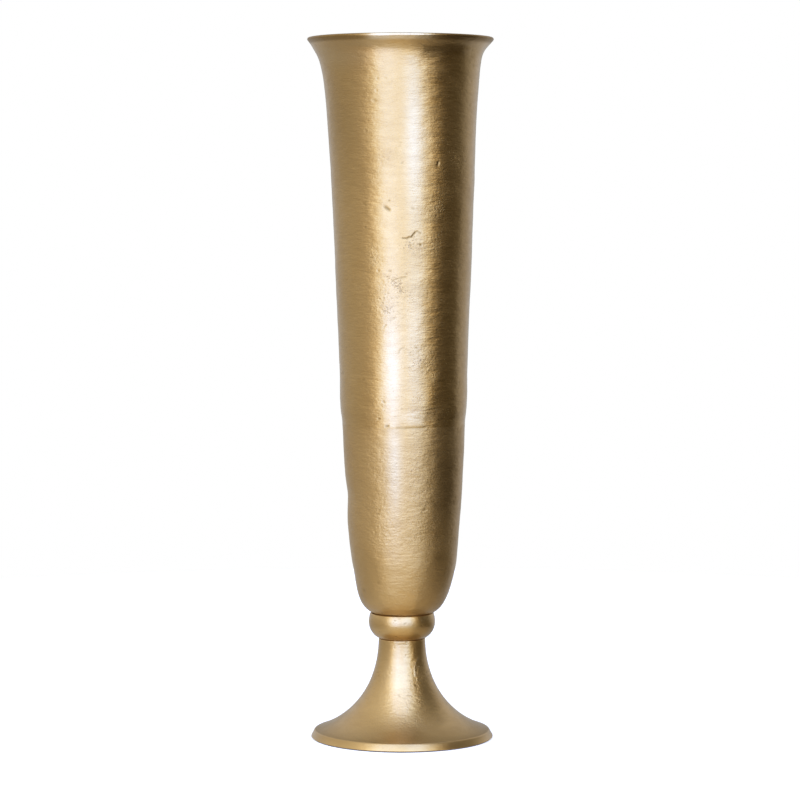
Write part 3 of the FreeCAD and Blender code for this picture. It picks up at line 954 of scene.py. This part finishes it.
foot_side = foot_outside[(from_skirt > SKIRT_EDGE) & (from_stem > STEM_EDGE)]
stem_spigot = [(SPIGOT, STEM_TOP), (SPIGOT, STEM_TOP + SPIGOT_LENGTH)]
web_hole = [(BOLT_HOLE, STEM_TOP + SPIGOT_LENGTH), (BOLT_HOLE, WEB_UNDERSIDE)]
foot_outline = loop(
    eased_corner((LAND_INNER, FOOT_BASE), band_foot, skirt_edge, BAND_EDGE),
    eased_corner(band_foot, skirt_edge, foot_side[0], SKIRT_EDGE),
    spaced(foot_side, OUTSIDE_GAP),
    eased_corner(foot_side[-1], stem_edge, (SPIGOT, STEM_TOP), STEM_EDGE),
    straight(WEB_GAP, stem_edge - point(1.4, 0), *stem_spigot, *web_hole, hollow_top - point(3.2, 0)),
    eased_corner(hollow_top - point(6, 0), hollow_top, foot_inside[-1], 3.0),
    spaced(foot_inside[::-1], HOLLOW_GAP),
    straight(LAND_GAP, foot_inside[0], (LAND_INNER, FOOT_BASE), (BAND_RADIUS - 1.2, FOOT_BASE)),
)
print("rows:", len(foot_outline))

# %% Relief of the foot
FOOT_COLUMNS, FOOT_CROWDING = 352, 0.45
SEAM_HEIGHT, FOOT_PIT_DEPTH = 0.17, 0.3
FOOT_DENTS = [(1.0, 12.0, 86.3, 1.1, 0.7), (0.7, 5.4, 5.2, 0.9, 0.7), (0.45, 27.0, 49.0, 2.4, 1.3, -40)]
FOOT_GROOVES = [(0.5, 0.45, (-8.5, 84.1), (2.3, 84.7), (8.4, 84.1), (16.0, 84.5))]
SEAM_RUNS = [
    (1.0, 1.0, (41.0, 71.5), (33.0, 68.0), (28.5, 63.5), (28.0, 57.0)),
    (0.8, 0.8, (52.0, 69.0), (42.0, 64.5), (33.0, 58.5), (30.0, 53.0)),
]
NEAR_SEAM = [(1.0, 28.0, 66.0, 12.0, 14.0), (0.9, 24.0, 48.0, 10.0, 10.0)]
# Painted shade: darker, less coated lacquer on the skirt, the right slope and the ends of the band
PAINTED_SHADE_ON_FOOT = [
    (0.3, 0.0, 14.0, 40.0, 12.0), (0.18, 2.0, 13.0, 10.0, 11.0), (0.42, 46.0, 38.0, 20.0, 16.0),
    (0.4, 62.0, 4.5, 20.0, 2.5), (0.2, -55.0, 4.5, 25.0, 2.5),
]
# Painted highlights: paler lacquer on the stem and the band
PAINTED_HIGHLIGHTS_ON_FOOT = [(0.55, -3.0, 60.0, 13.0, 26.0), (0.3, -26.0, 62.0, 16.0, 24.0), (0.5, 11.0, 4.0, 24.0, 2.5)]


def foot_radius(height):
    """Radius of the foot's outside at a height."""
    return np.interp(height, foot_outside[:, 1], foot_outside[:, 0])


def foot_skin(skin):
    angle, height = skin["angle"], skin["height"]
    outside = ease(skin["radius"] - foot_radius(height), -2.0, -0.6)
    outside = outside * window(height, 3.0, STEM_TOP - 0.6, 0.7)
    slow = layer(skin, 0.1, 5, 30.0, 61) + layer(skin, 0.045, 18, 9.0, 62)
    rippled = window(height, 24.0, 58.0, 10.0) * (0.7 + layer(skin, 1.0, 7, 16.0, 63))
    bent = height + layer(skin, 0.9, 16, 5.0, 64)
    ripples = 0.11 * rippled * smooth_noise(angle, bent, 44, 1.7, 65)
    lumps = 0.16 * window(height, 84.6, 86.8, 1.0) * layer(skin, 1.0, 34, 3.0, 66)
    near_seam = np.maximum.reduce(patches(skin, NEAR_SEAM))
    ragged = 0.2 * near_seam * layer(skin, 1.0, 46, 3.2, 68)
    seam, branch = grooves(skin, SEAM_RUNS)
    scooped = dent(skin, (44.0, 66.5), 2.6, 1.5, 60)
    pits = np.maximum.reduce([
        *dents(skin, FOOT_DENTS),
        *grooves(skin, FOOT_GROOVES),
        0.6 * scattered(skin, 18, 8.0, 84.0, 0.45, 0.8, 67),
        0.3 * scooped,
    ])
    raised = SEAM_HEIGHT * np.maximum(seam, branch)
    # Darker pits, painted shade in the troughs of the ripples, and painted shade patches
    marks_and_painted_shade = np.maximum.reduce([
        0.6 * pits,
        0.25 * rippled * ease(-ripples, 0.02, 0.06),
        sum(patches(skin, PAINTED_SHADE_ON_FOOT)),
    ])
    sandy = np.clip(0.22 + 0.7 * rippled + 0.5 * near_seam + 0.3 * window(height, 5.0, 18.0, 8.0), 0, 1)
    return {
        "push": outside * (slow + ripples + lumps + ragged + raised - FOOT_PIT_DEPTH * pits),
        "sandy": outside * sandy,
        "marks_and_painted_shade": outside * marks_and_painted_shade,
        # Painted highlights, and a painted highlight along the raised seam
        "painted_highlight": outside * np.maximum.reduce([*patches(skin, PAINTED_HIGHLIGHTS_ON_FOOT), 0.3 * seam]),
        "porous": 0.5 * outside * near_seam,
    }


turned(
    "hollow_foot", "foot", foot_outline, FOOT_COLUMNS, FOOT_CROWDING, foot_skin, gold_smooth
)

# %% [markdown]
# ## Steel, rubber and felt
# The fasteners are bright zinc plated: a cool grey metal with faint rolling lines and a dull bloom
# where the plating has aged. The gasket is matt rubber, dusty on top. The felt is short wool fibres
# pressed flat, so it has no lines at all, only a tangle, and it is lighter where fibres stand up.

# %% Finishes of the small pieces
ZINC_COOL, ZINC_WARM, ZINC_SPECK = (0.58, 0.60, 0.63, 1.0), (0.66, 0.64, 0.60, 1.0), (0.3, 0.29, 0.27, 1.0)
RUBBER_BLACK, RUBBER_DUST = (0.022, 0.022, 0.023, 1.0), (0.075, 0.07, 0.064, 1.0)
WOOL_DEEP, WOOL_LIT = (0.03, 0.026, 0.022, 1.0), (0.13, 0.115, 0.1, 1.0)
FIBRE_BEND = (0.003, 0.003, 0.003)  # metres

tree = started("zinc_plated_steel")
rolled = use_group(tree, turning_lines, Lines_per_metre=2600.0, Breaks_per_metre=180.0)
bloom = use_group(tree, tone_drift, Drifts_per_metre=160.0)
specks = use_group(tree, pores, Pores_per_metre=1500.0, Amount=0.8)
zinc = mixed(tree, map_range(tree, bloom["Tone"], *MIDDLE_TONES, 0.0, 1.0), ZINC_COOL, ZINC_WARM)
steel = finished(
    "zinc_plated_steel",
    Base_Color=mixed(tree, math_node(tree, "MULTIPLY", specks["Mask"], 0.6), zinc, ZINC_SPECK),
    Metallic=1.0,
    Roughness=map_range(tree, bloom["Fine tone"], *WIDER_TONES, 0.24, 0.46),
    Normal=bump(tree, specks["Height"], 0.02, bump(tree, rolled["Height"], 0.008)),
)

tree = started("black_rubber")
dust = use_group(tree, tone_drift, Drifts_per_metre=220.0)
moulded = use_group(tree, pores, Pores_per_metre=2600.0, Amount=1.0)
rubber = finished(
    "black_rubber",
    Base_Color=mixed(tree, map_range(tree, dust["Tone"], 0.4, 0.75, 0.0, 1.0), RUBBER_BLACK, RUBBER_DUST),
    Roughness=map_range(tree, dust["Fine tone"], *WIDER_TONES, 0.6, 0.85),
    Normal=bump(tree, moulded["Height"], 0.03, bump(tree, dust["Fine tone"], 0.06)),
)

tree = started("brown_black_felt")
wool = use_group(tree, tone_drift, Drifts_per_metre=150.0)
where = on_piece(tree)
bend = add(tree, "ShaderNodeTexNoise", {"Vector": where, "Scale": 500.0, "Detail": 2.0}).outputs["Color"]
bent = add(tree, "ShaderNodeVectorMath", {0: bend, 1: FIBRE_BEND, 2: where}, operation="MULTIPLY_ADD")
fibre_sockets = {"Vector": bent.outputs[0], "Scale": 1500.0}
fibres = add(tree, "ShaderNodeTexVoronoi", fibre_sockets, feature="DISTANCE_TO_EDGE")
standing = map_range(tree, fibres.outputs["Distance"], 0.0, 0.18, 1.0, 0.0)
tangle = math_node(tree, "MULTIPLY_ADD", standing, 0.6, wool["Fine tone"])
felt = finished(
    "brown_black_felt",
    Base_Color=mixed(tree, map_range(tree, tangle, 0.35, 1.0, 0.0, 1.0), WOOL_DEEP, WOOL_LIT),
    Roughness=map_range(tree, wool["Tone"], *WIDER_TONES, 0.85, 1.0),
    Sheen_Weight=0.4,
    Sheen_Roughness=0.6,
    Normal=bump(tree, tangle, 0.25),
)
print("small finishes:", steel.name, rubber.name, felt.name)

# %% [markdown]
# ## Felt ring and gasket
# Both are cut from sheet. The felt is a ring with soft, slightly ragged edges, and it is pressed flat
# by the weight above. The gasket is squeezed by the washer on top of it, so its free rim bulges up
# and outwards.

# %% Felt ring
FELT_IN, FELT_OUT = 72.6, 78.5
LOWER_EASE, UPPER_EASE = 0.35, 0.25
FELT_COLUMNS = 900
EVENLY = 0.0  # columns that don't crowd anywhere
felt_outline = loop(
    straight(0.5, (FELT_IN + LOWER_EASE, 0.0), (FELT_OUT - LOWER_EASE, 0.0)),
    eased_corner((FELT_OUT - 2, 0.0), (FELT_OUT, 0.0), (FELT_OUT, FOOT_BASE), LOWER_EASE),
    eased_corner((FELT_OUT, 0.0), (FELT_OUT, FOOT_BASE), (FELT_OUT - 2, FOOT_BASE), UPPER_EASE),
    straight(0.7, (FELT_OUT - 0.3, FOOT_BASE), (FELT_IN + 0.3, FOOT_BASE)),
    eased_corner((FELT_IN + 2, FOOT_BASE), (FELT_IN, FOOT_BASE), (FELT_IN, 0.0), UPPER_EASE),
    eased_corner((FELT_IN, FOOT_BASE), (FELT_IN, 0.0), (FELT_IN + 2, 0.0), LOWER_EASE),
)


def felt_skin(skin):
    """Ragged edges: two sizes of noise, only where the outline faces sideways."""
    edge = 1 - window(skin["radius"], FELT_IN + 0.25, FELT_OUT - 0.25, 0.2)
    ragged = layer(skin, 0.12, 60, 2.0, 71) + layer(skin, 0.07, 360, 0.7, 72)
    return {"push": edge * (ragged - 0.06)}


turned("felt_pad", "felt_ring", felt_outline, FELT_COLUMNS, EVENLY, felt_skin, felt)

# %% Gasket
GASKET_IN, GASKET_OUT, WASHER_OUT = 4.0, 14.0, 12.0
GASKET_TOP = FLOOR_TOP + 2.0
GASKET_COLUMNS = 128
RIM_RADIUS = 1.1
RIM_RAISED = 0.1
rim_centre = point(GASKET_OUT - RIM_RADIUS, FLOOR_TOP + RIM_RADIUS)
gasket_rim = arc(rim_centre, RIM_RADIUS, 150, -20) + point(0, RIM_RAISED)
gasket_outline = loop(
    straight(1.0, (GASKET_IN, FLOOR_TOP), (GASKET_OUT - 0.6, FLOOR_TOP)),
    spaced(gasket_rim, 0.25),
    straight(0.6, (WASHER_OUT + 0.1, GASKET_TOP), (GASKET_IN, GASKET_TOP)),
    straight(0.7, (GASKET_IN, GASKET_TOP), (GASKET_IN, FLOOR_TOP)),
)


def gasket_skin(skin):
    rim = ease(skin["radius"], WASHER_OUT + 0.2, WASHER_OUT + 1.2)
    rim = rim * ease(skin["height"], FLOOR_TOP, FLOOR_TOP + 0.4)
    return {"push": rim * 0.12 * (layer(skin, 1.0, 12, 3.0, 73) - 0.5)}


turned("rubber_gasket", "bowl_gasket", gasket_outline, GASKET_COLUMNS, EVENLY, gasket_skin, rubber)

# %% [markdown]
# ## Washers
# A plain washer is punched from strip: the punch drags one edge round and leaves the other sharp,
# and the rim keeps small dents. The spring washer is a turn of square wire cut through on the
# slant, so it is the same kind of surface, but open: it starts at one lip of the slit and ends at the
# other, and both ends are capped.

# %% Plain washers
WASHER_HOLE = 4.3
HEAD_SEAT = GASKET_TOP + 1.6
NUT_SEAT = WEB_UNDERSIDE - 1.6
PRESS_DEPTH = 0.08
PUNCHED = (0.1, 0.1, 0.4, 0.35)  # nearly sharp below, dragged round above
PLAIN_WASHERS = [
    ("washer_under_head", "head_washer", WASHER_OUT, GASKET_TOP, HEAD_SEAT, 160),
    ("washer_over_nut", "nut_washer", 10.0, NUT_SEAT, WEB_UNDERSIDE, 144),
]


def ring_section(inner, outer, bottom, top, cuts):
    """A flat ring's section. Its corners, from the inner lower one, are eased by the four cuts."""
    corners = [(inner, bottom), (outer, bottom), (outer, top), (inner, top)]
    before, after = corners[-1:] + corners[:-1], corners[1:] + corners[:1]
    return loop(*(eased_corner(*corner) for corner in zip(before, corners, after, cuts)))


def pressed_edge(inner, outer, depth):
    """Small dents round the rim, left by the press, and none on the faces."""
    def skin_of(skin):
        rim = 1 - window(skin["radius"], inner + 0.3, outer - 0.3, 0.2)
        return {"push": -depth * rim * np.abs(layer(skin, 1.0, 26, 0.8, 74))}
    return skin_of


for name, node, outer, bottom, top, columns in PLAIN_WASHERS:
    section = ring_section(WASHER_HOLE, outer, bottom, top, PUNCHED)
    edge = pressed_edge(WASHER_HOLE, outer, PRESS_DEPTH)
    turned(name, node, section, columns, EVENLY, edge, steel)

# %% Split spring washer
NUT_TOP = NUT_SEAT - 2.0
SPRING_OUT = 7.0
SPRING_EASE = 0.3
SPRING_COLUMNS = 121
SLIT_WIDTH, SLIT_SLANT = 0.8, math.radians(20.0)
SLIT_PLACE = math.pi / 2  # at +X


def split_faces(rows, columns):
    """The walls of a closed section swept along an open path, and a face at each of its ends."""
    faces = ring_faces(rows, columns, closed=True).reshape(rows, columns, 4)[:, :-1]
    first = [row * columns for row in range(rows)]
    last = [start + columns - 1 for start in first][::-1]
    return [*faces.reshape(-1, 4).tolist(), first, last]


spring_section = ring_section(WASHER_HOLE, SPRING_OUT, NUT_TOP, NUT_SEAT, [SPRING_EASE] * 4)
radius, height = spring_section[:, :1], spring_section[:, 1:]
share = np.linspace(0, 1, SPRING_COLUMNS)[None, :]
half_slit = SLIT_WIDTH / math.cos(SLIT_SLANT) / 2
leaning = -(height - (NUT_TOP + NUT_SEAT) / 2) * math.tan(SLIT_SLANT)
first_end = SLIT_PLACE + (leaning + half_slit) / radius
last_end = SLIT_PLACE + TURN + (leaning - half_slit) / radius
spring_points = placed(radius, height, first_end + (last_end - first_end) * share)
spring_faces = split_faces(len(spring_section), SPRING_COLUMNS)
split_washer = add_piece("split_washer", "spring_washer", spring_points, spring_faces, steel)
split_washer.data.set_sharp_from_angle(angle=math.radians(40))

# %% [markdown]
# ## Bolt and nut
# A hexagon is a turned surface too, if the radius depends on the angle: the flat's distance over the
# cosine of the angle from the middle of the flat. The corners are cut by a cone, so the radius is the
# lesser of the two. The thread is a ridge that climbs one pitch in each turn, which is a height that
# depends on both the angle and the height. The nut has the same thread, a little wider.

# %% Hexagon and thread
ACROSS_FLATS = 13.0
CHAMFER_SLOPE = math.tan(math.radians(30))
PITCH = 1.25
BOLT_RADIUS = 4.0
THREAD_DEPTH = 0.62
ROW_GAP = 0.1
SIXTH = TURN / 6
CRISP = math.radians(28)


def turns_of(count):
    return np.linspace(-math.pi, math.pi, count, endpoint=False)[None, :]


def rings(radius, height, angle):
    """The points as rows of rings: radius and height may both change with the row and the angle."""
    return placed(radius, height, angle).reshape(-1, angle.size, 3)


def hexagon_radius(angle, from_end, chamfer_circle):
    """Half the width across flats / cos(angle from the middle of the nearest flat), but no wider than
    a cone that widens from the chamfer circle at 30 degrees."""
    from_flat = (angle + SIXTH / 2) % SIXTH - SIXTH / 2
    return np.minimum(ACROSS_FLATS / 2 / np.cos(from_flat), chamfer_circle + from_end / CHAMFER_SLOPE)


def thread_depth(angle, height):
    """A wave that climbs one pitch a turn: a flat crest, straight sides and a rounded root."""
    wave = (height / PITCH - angle / TURN) % 1.0
    from_root = np.abs(wave - 0.5) * 2
    return THREAD_DEPTH * (1 - ease(from_root, 0.1, 0.85))


# %% Bolt
THREAD_START = 85.4
BOLT_TIP = HEAD_SEAT - 55.0
HEAD_TOP = HEAD_SEAT + 5.3
WASHER_FACE, HEAD_CHAMFER = 5.9, 5.95  # radii
UNDER_HEAD = HEAD_SEAT + 0.25
HEAD_DISH = [(5.2, 0.0), (4.9, 0.12), (3.0, 0.2), (0.6, 0.2)]  # radius, and depth below the head's top
BOLT_COLUMNS = 96


def shank_radius(angle, height):
    """The thread below its start, fading out over one pitch, and a cone at the tip."""
    faded = 1 - ease(height, THREAD_START - PITCH, THREAD_START + PITCH)
    tip = BOLT_RADIUS - 0.8 + (height - BOLT_TIP)
    return np.minimum(BOLT_RADIUS - faded * thread_depth(angle, height), tip)


turns = turns_of(BOLT_COLUMNS)
threaded_rows = np.arange(BOLT_TIP, THREAD_START + 2.6, ROW_GAP)
shank_rows = np.concatenate([threaded_rows, [100.0, 110.0, HEAD_SEAT]])[:, None]
side_rows = np.concatenate([[UNDER_HEAD], np.linspace(HEAD_TOP - 1.1, HEAD_TOP, 12)])[:, None]
bolt_grid = np.concatenate([
    rings(shank_radius(turns, shank_rows), shank_rows, turns),
    rings(WASHER_FACE, HEAD_SEAT, turns),
    rings(HEAD_CHAMFER, UNDER_HEAD, turns),
    rings(hexagon_radius(turns, HEAD_TOP - side_rows, HEAD_CHAMFER), side_rows, turns),
    *(rings(radius, HEAD_TOP - depth, turns) for radius, depth in HEAD_DISH),
])
bolt_faces = ring_faces(len(bolt_grid), BOLT_COLUMNS, closed=False).tolist()
bolt_faces.append(list(range(BOLT_COLUMNS))[::-1])
bolt_faces.append([(len(bolt_grid) - 1) * BOLT_COLUMNS + column for column in range(BOLT_COLUMNS)])
bolt = add_piece("threaded_bolt", "tie_bolt", bolt_grid.reshape(-1, 3), bolt_faces, steel)
bolt.data.set_sharp_from_angle(angle=CRISP)

# %% Nut
NUT_UNDERSIDE = NUT_TOP - 6.5
NUT_CHAMFER = 6.15
NUT_BORE = BOLT_RADIUS + 0.05
NUT_COLUMNS = 144


def from_nut_end(height):
    """How far a height lies from the nearer end of the nut."""
    return np.minimum(NUT_TOP - height, height - NUT_UNDERSIDE)


turns = turns_of(NUT_COLUMNS)
lower_rows, upper_rows = (np.linspace(low, low + 1.0, 11) for low in (NUT_UNDERSIDE, NUT_TOP - 1.0))
outer_rows = np.concatenate([lower_rows, upper_rows])[:, None]
bore_rows = np.arange(NUT_TOP, NUT_UNDERSIDE - ROW_GAP / 2, -ROW_GAP)[:, None]
bore_radius = NUT_BORE - thread_depth(turns, bore_rows) * ease(from_nut_end(bore_rows), 0.1, 0.7)
nut_grid = np.concatenate([
    rings(hexagon_radius(turns, from_nut_end(outer_rows), NUT_CHAMFER), outer_rows, turns),
    rings(bore_radius, bore_rows, turns),
])
nut_faces = ring_faces(len(nut_grid), NUT_COLUMNS, closed=True).tolist()
nut = add_piece("chamfered_nut", "hex_nut", nut_grid.reshape(-1, 3), nut_faces, steel)
nut.data.set_sharp_from_angle(angle=CRISP)

# %% [markdown]
# ## Floor
# A plain round table top. The camera sees it white, with the faint shadow under the foot, because a
# share of it is ordinary paper that the studio lights. The metal sees painted light on it instead:
# tones by direction that stand in for the lit paper, and further out a painted reflection of the
# panels and the room. From below it is clear, so that the underside of the foot can be looked at.
# The tones are curves of brightness against direction, as in the studio.

# %% Light by direction
WHITE = (1, 1, 1, 1)
BLACK = (0, 0, 0, 1)
DARK = (0, 0, 0)


def azimuth_of(tree, vector):
    """Degrees round from the front, to the right, of a place or a direction, and its Z."""
    split = add(tree, "ShaderNodeSeparateXYZ", {"Vector": vector}).outputs
    turn = math_node(tree, "ARCTAN2", split["X"], math_node(tree, "MULTIPLY", split["Y"], -1.0))
    return math_node(tree, "MULTIPLY", turn, 180 / math.pi), split["Z"]


def level_round(tree, azimuth, levels):
    """A curve of brightness against azimuth, through (degrees, level) or (degrees, red, green, blue)."""
    ramp = add(tree, "ShaderNodeValToRGB", {"Fac": map_range(tree, azimuth, -180.0, 180.0, 0.0, 1.0)})
    ramp.color_ramp.interpolation = "EASE"
    marks = ramp.color_ramp.elements
    marks.remove(marks[1])
    for i, (degrees, *level) in enumerate(levels):
        mark = marks[0] if i == 0 else marks.new((degrees + 180) / 360)
        mark.color = (*(level if len(level) == 3 else level * 3), 1)
    return ramp.outputs["Color"]


def glow(tree, colour, strength=1.0, kind="ShaderNodeEmission"):
    """Light of a colour, on a surface or, as a Background, in the world."""
    return add(tree, kind, {"Color": colour, "Strength": strength}).outputs[0]


def both_lights(tree, a, b):
    return add(tree, "ShaderNodeAddShader", {0: a, 1: b}).outputs[0]


def either(tree, factor, a, b):
    """Shader a where the factor is 0 and b where it is 1."""
    return add(tree, "ShaderNodeMixShader", {"Fac": factor, 1: a, 2: b}).outputs[0]


# %% Tones that the table top shows the metal
# The table top glows for the metal: painted light that stands in for paper that the studio lights.
FLOOR_LEVELS = [
    (-180, 0.5), (-100, 0.68), (-60, 0.8), (-30, 0.98, 0.9, 0.72), (25, 0.94, 0.84, 0.64),
    (50, 0.54, 0.48, 0.38), (90, 0.44, 0.39, 0.32), (140, 0.4), (180, 0.5),
]
# Further out the table top glows with a painted reflection of the panels.
PAINTED_REFLECTION_LEVELS = [
    (-180, *DARK), (-54, *DARK), (-46, 0.8, 0.6, 0.36), (-38, 1.35, 1.5, 1.7), (-30, 1.5, 2.0, 3.7),
    (-12, 1.5, 2.0, 3.7), (0, 1.3, 1.5, 2.0), (12, 1.2, 1.3, 1.45), (21, 0.85, 0.78, 0.6),
    (30, 0.25, 0.18, 0.08), (38, *DARK), (180, *DARK),
]
# Beyond it the glow is the low part of the room, painted as the low part of the body sees it.
FAR_LEVELS = [
    (-180, 0.5), (-158, 0.56), (-140, 0.5), (-100, 0.5, 0.47, 0.43), (-60, 0.52, 0.46, 0.4),
    (-45, 0.52, 0.45, 0.38), (24, 0.32, 0.26, 0.18), (40, 0.04, 0.028, 0.009), (114, 0.04, 0.028, 0.009),
    (134, 0.46), (160, 0.55), (180, 0.5),
]
# Distances from the vase's axis, in metres, over which each part of the reflection comes or goes.
FADING, ROOM_COMES, PAINTED_REFLECTION_COMES = (0.18, 0.42), (0.31, 0.47), (0.36, 0.62)
print("tones round the table top:", len(FLOOR_LEVELS), len(PAINTED_REFLECTION_LEVELS), len(FAR_LEVELS))

# %% Floor
FLOOR_RADIUS = 1.2
FLOOR_CORNERS = 128
PAPER = (0.8, 0.8, 0.8, 1)
PAPER_GLOW = 0.45

floor_mesh = bpy.data.meshes.new("floor")
rim = np.linspace(0, TURN, FLOOR_CORNERS, endpoint=False)
floor_points = FLOOR_RADIUS * np.stack([np.cos(rim), np.sin(rim), np.zeros(FLOOR_CORNERS)], axis=1)
floor_mesh.from_pydata(floor_points.tolist(), [], [list(range(FLOOR_CORNERS))])
floor = bpy.data.objects.new("floor", floor_mesh)
bpy.context.scene.collection.objects.link(floor)

tree = started("white_paper")
azimuth, _ = azimuth_of(tree, on_piece(tree))
away = add(tree, "ShaderNodeVectorMath", {0: on_piece(tree)}, operation="LENGTH").outputs["Value"]
fading = map_range(tree, away, *FADING, 1.0, 0.6)
near_levels = mixed(tree, fading, BLACK, level_round(tree, azimuth, FLOOR_LEVELS))
beyond = map_range(tree, away, *ROOM_COMES, 0.0, 1.0)
# What the metal sees: painted light of the table top and a painted reflection of the panels
table = glow(tree, mixed(tree, beyond, near_levels, level_round(tree, azimuth, FAR_LEVELS)))
painted_reflection = glow(tree, level_round(tree, azimuth, PAINTED_REFLECTION_LEVELS), map_range(tree, away, *PAINTED_REFLECTION_COMES, 0.0, 1.0))
lit = add(tree, "ShaderNodeBsdfDiffuse", {"Color": PAPER}).outputs[0]
clear = add(tree, "ShaderNodeBsdfTransparent").outputs[0]
ray = add(tree, "ShaderNodeLightPath").outputs
side = add(tree, "ShaderNodeNewGeometry").outputs
shown = either(tree, ray["Is Camera Ray"], lit, both_lights(tree, glow(tree, WHITE, PAPER_GLOW), lit))
shown = either(tree, ray["Is Glossy Ray"], shown, both_lights(tree, table, painted_reflection))
shown = either(tree, side["Backfacing"], shown, clear)
add(tree, "ShaderNodeOutputMaterial", {"Surface": shown})
floor_mesh.materials.append(bpy.data.materials["white_paper"])
print("the floor is", 2 * FLOOR_RADIUS, "m across")

# %% [markdown]
# ## Studio
# Two tall soft panels stand in front, side by side, and reach from below the table to overhead. The
# room is pale to the left and dark to the right, which is what draws the dark band down the vase. The
# panels could be area lamps, but a lamp that is near shifts in the metal with height. Painted on the
# world by direction they are far away, so their edges run straight down the vase, as they do in the
# photograph, and the whole studio can be read from a few levels. The camera itself sees only white.

# %% Levels of the panels and the room
# The panels are daylight, cool in the middle, and warm towards their edges.
PANEL_LEVELS = [
    (-180, *DARK), (-54, *DARK), (-46, 0.7, 0.58, 0.4), (-38, 1.2, 1.5, 1.9), (-30, 1.3, 1.92, 4.1),
    (-16, 1.3, 1.92, 4.1), (-6, 1.2, 1.56, 2.7), (2, 1.2, 1.56, 2.7), (10, 1.36, 2.02, 4.15),
    (26, 1.36, 2.02, 4.1), (35.5, 1.24, 1.46, 1.7), (42.5, 0.94, 0.76, 0.44), (51.5, 0.24, 0.17, 0.09),
    (57, *DARK), (180, *DARK),
]
ROOM_LOW = [
    (-180, 0.5), (-158, 0.56), (-140, 0.5), (-100, 0.52, 0.5, 0.47), (-60, 0.54, 0.49, 0.44),
    (-45, 0.54, 0.48, 0.43), (40, 0.32, 0.26, 0.18), (56, 0.06, 0.044, 0.016), (100, 0.06, 0.044, 0.016),
    (124, 0.44), (160, 0.56), (180, 0.5),
]
ROOM_HIGH = [
    (-180, 0.12, 0.1, 0.06), (-150, 0.8), (-100, 0.9), (-60, 0.98), (-45, 0.9), (40, 0.5),
    (60, 0.13, 0.11, 0.08), (104, 0.28), (140, 0.84), (180, 0.12, 0.1, 0.06),
]
# Heights of a direction, from -1 straight down to 1 straight up, over which each change takes place.
ROOM_RISES, PANELS_WIDEN, RIGHT_CUT_OFF = (-0.1, 0.4), (-0.1, 0.15), (-0.22, -0.15)
PANELS_END, PANELS_START = (0.985, 0.997), (-0.92, -0.86)
print("levels round the studio:", len(PANEL_LEVELS), len(ROOM_LOW), len(ROOM_HIGH))

# %% Room and panels
world = bpy.data.worlds.new("studio")
bpy.context.scene.world = world
tree = fresh_tree(world)
azimuth, rise = azimuth_of(tree, add(tree, "ShaderNodeTexCoord").outputs["Generated"])
high = map_range(tree, rise, *ROOM_RISES, 0.0, 1.0)
walls = mixed(tree, high, level_round(tree, azimuth, ROOM_LOW), level_round(tree, azimuth, ROOM_HIGH))
to_the_right = math_node(tree, "MAXIMUM", azimuth, 0.0)
cut_off = math_node(tree, "MULTIPLY", to_the_right, map_range(tree, rise, *RIGHT_CUT_OFF, 0.33, 0.0))
widening = map_range(tree, rise, *PANELS_WIDEN, 1.0, 0.86)
narrowed = math_node(tree, "MULTIPLY_ADD", azimuth, widening, cut_off)
below_top = map_range(tree, rise, *PANELS_END, 1.0, 0.0)
above_foot = map_range(tree, rise, *PANELS_START, 0.0, 1.0)
strength = math_node(tree, "MULTIPLY", below_top, above_foot)
room = glow(tree, walls, kind="ShaderNodeBackground")
panels = glow(tree, level_round(tree, narrowed, PANEL_LEVELS), strength, kind="ShaderNodeBackground")
white = glow(tree, WHITE, kind="ShaderNodeBackground")
ray = add(tree, "ShaderNodeLightPath").outputs
seen = either(tree, ray["Is Camera Ray"], both_lights(tree, room, panels), white)
add(tree, "ShaderNodeOutputWorld", {"Surface": seen})
print("world", world.name, "made")
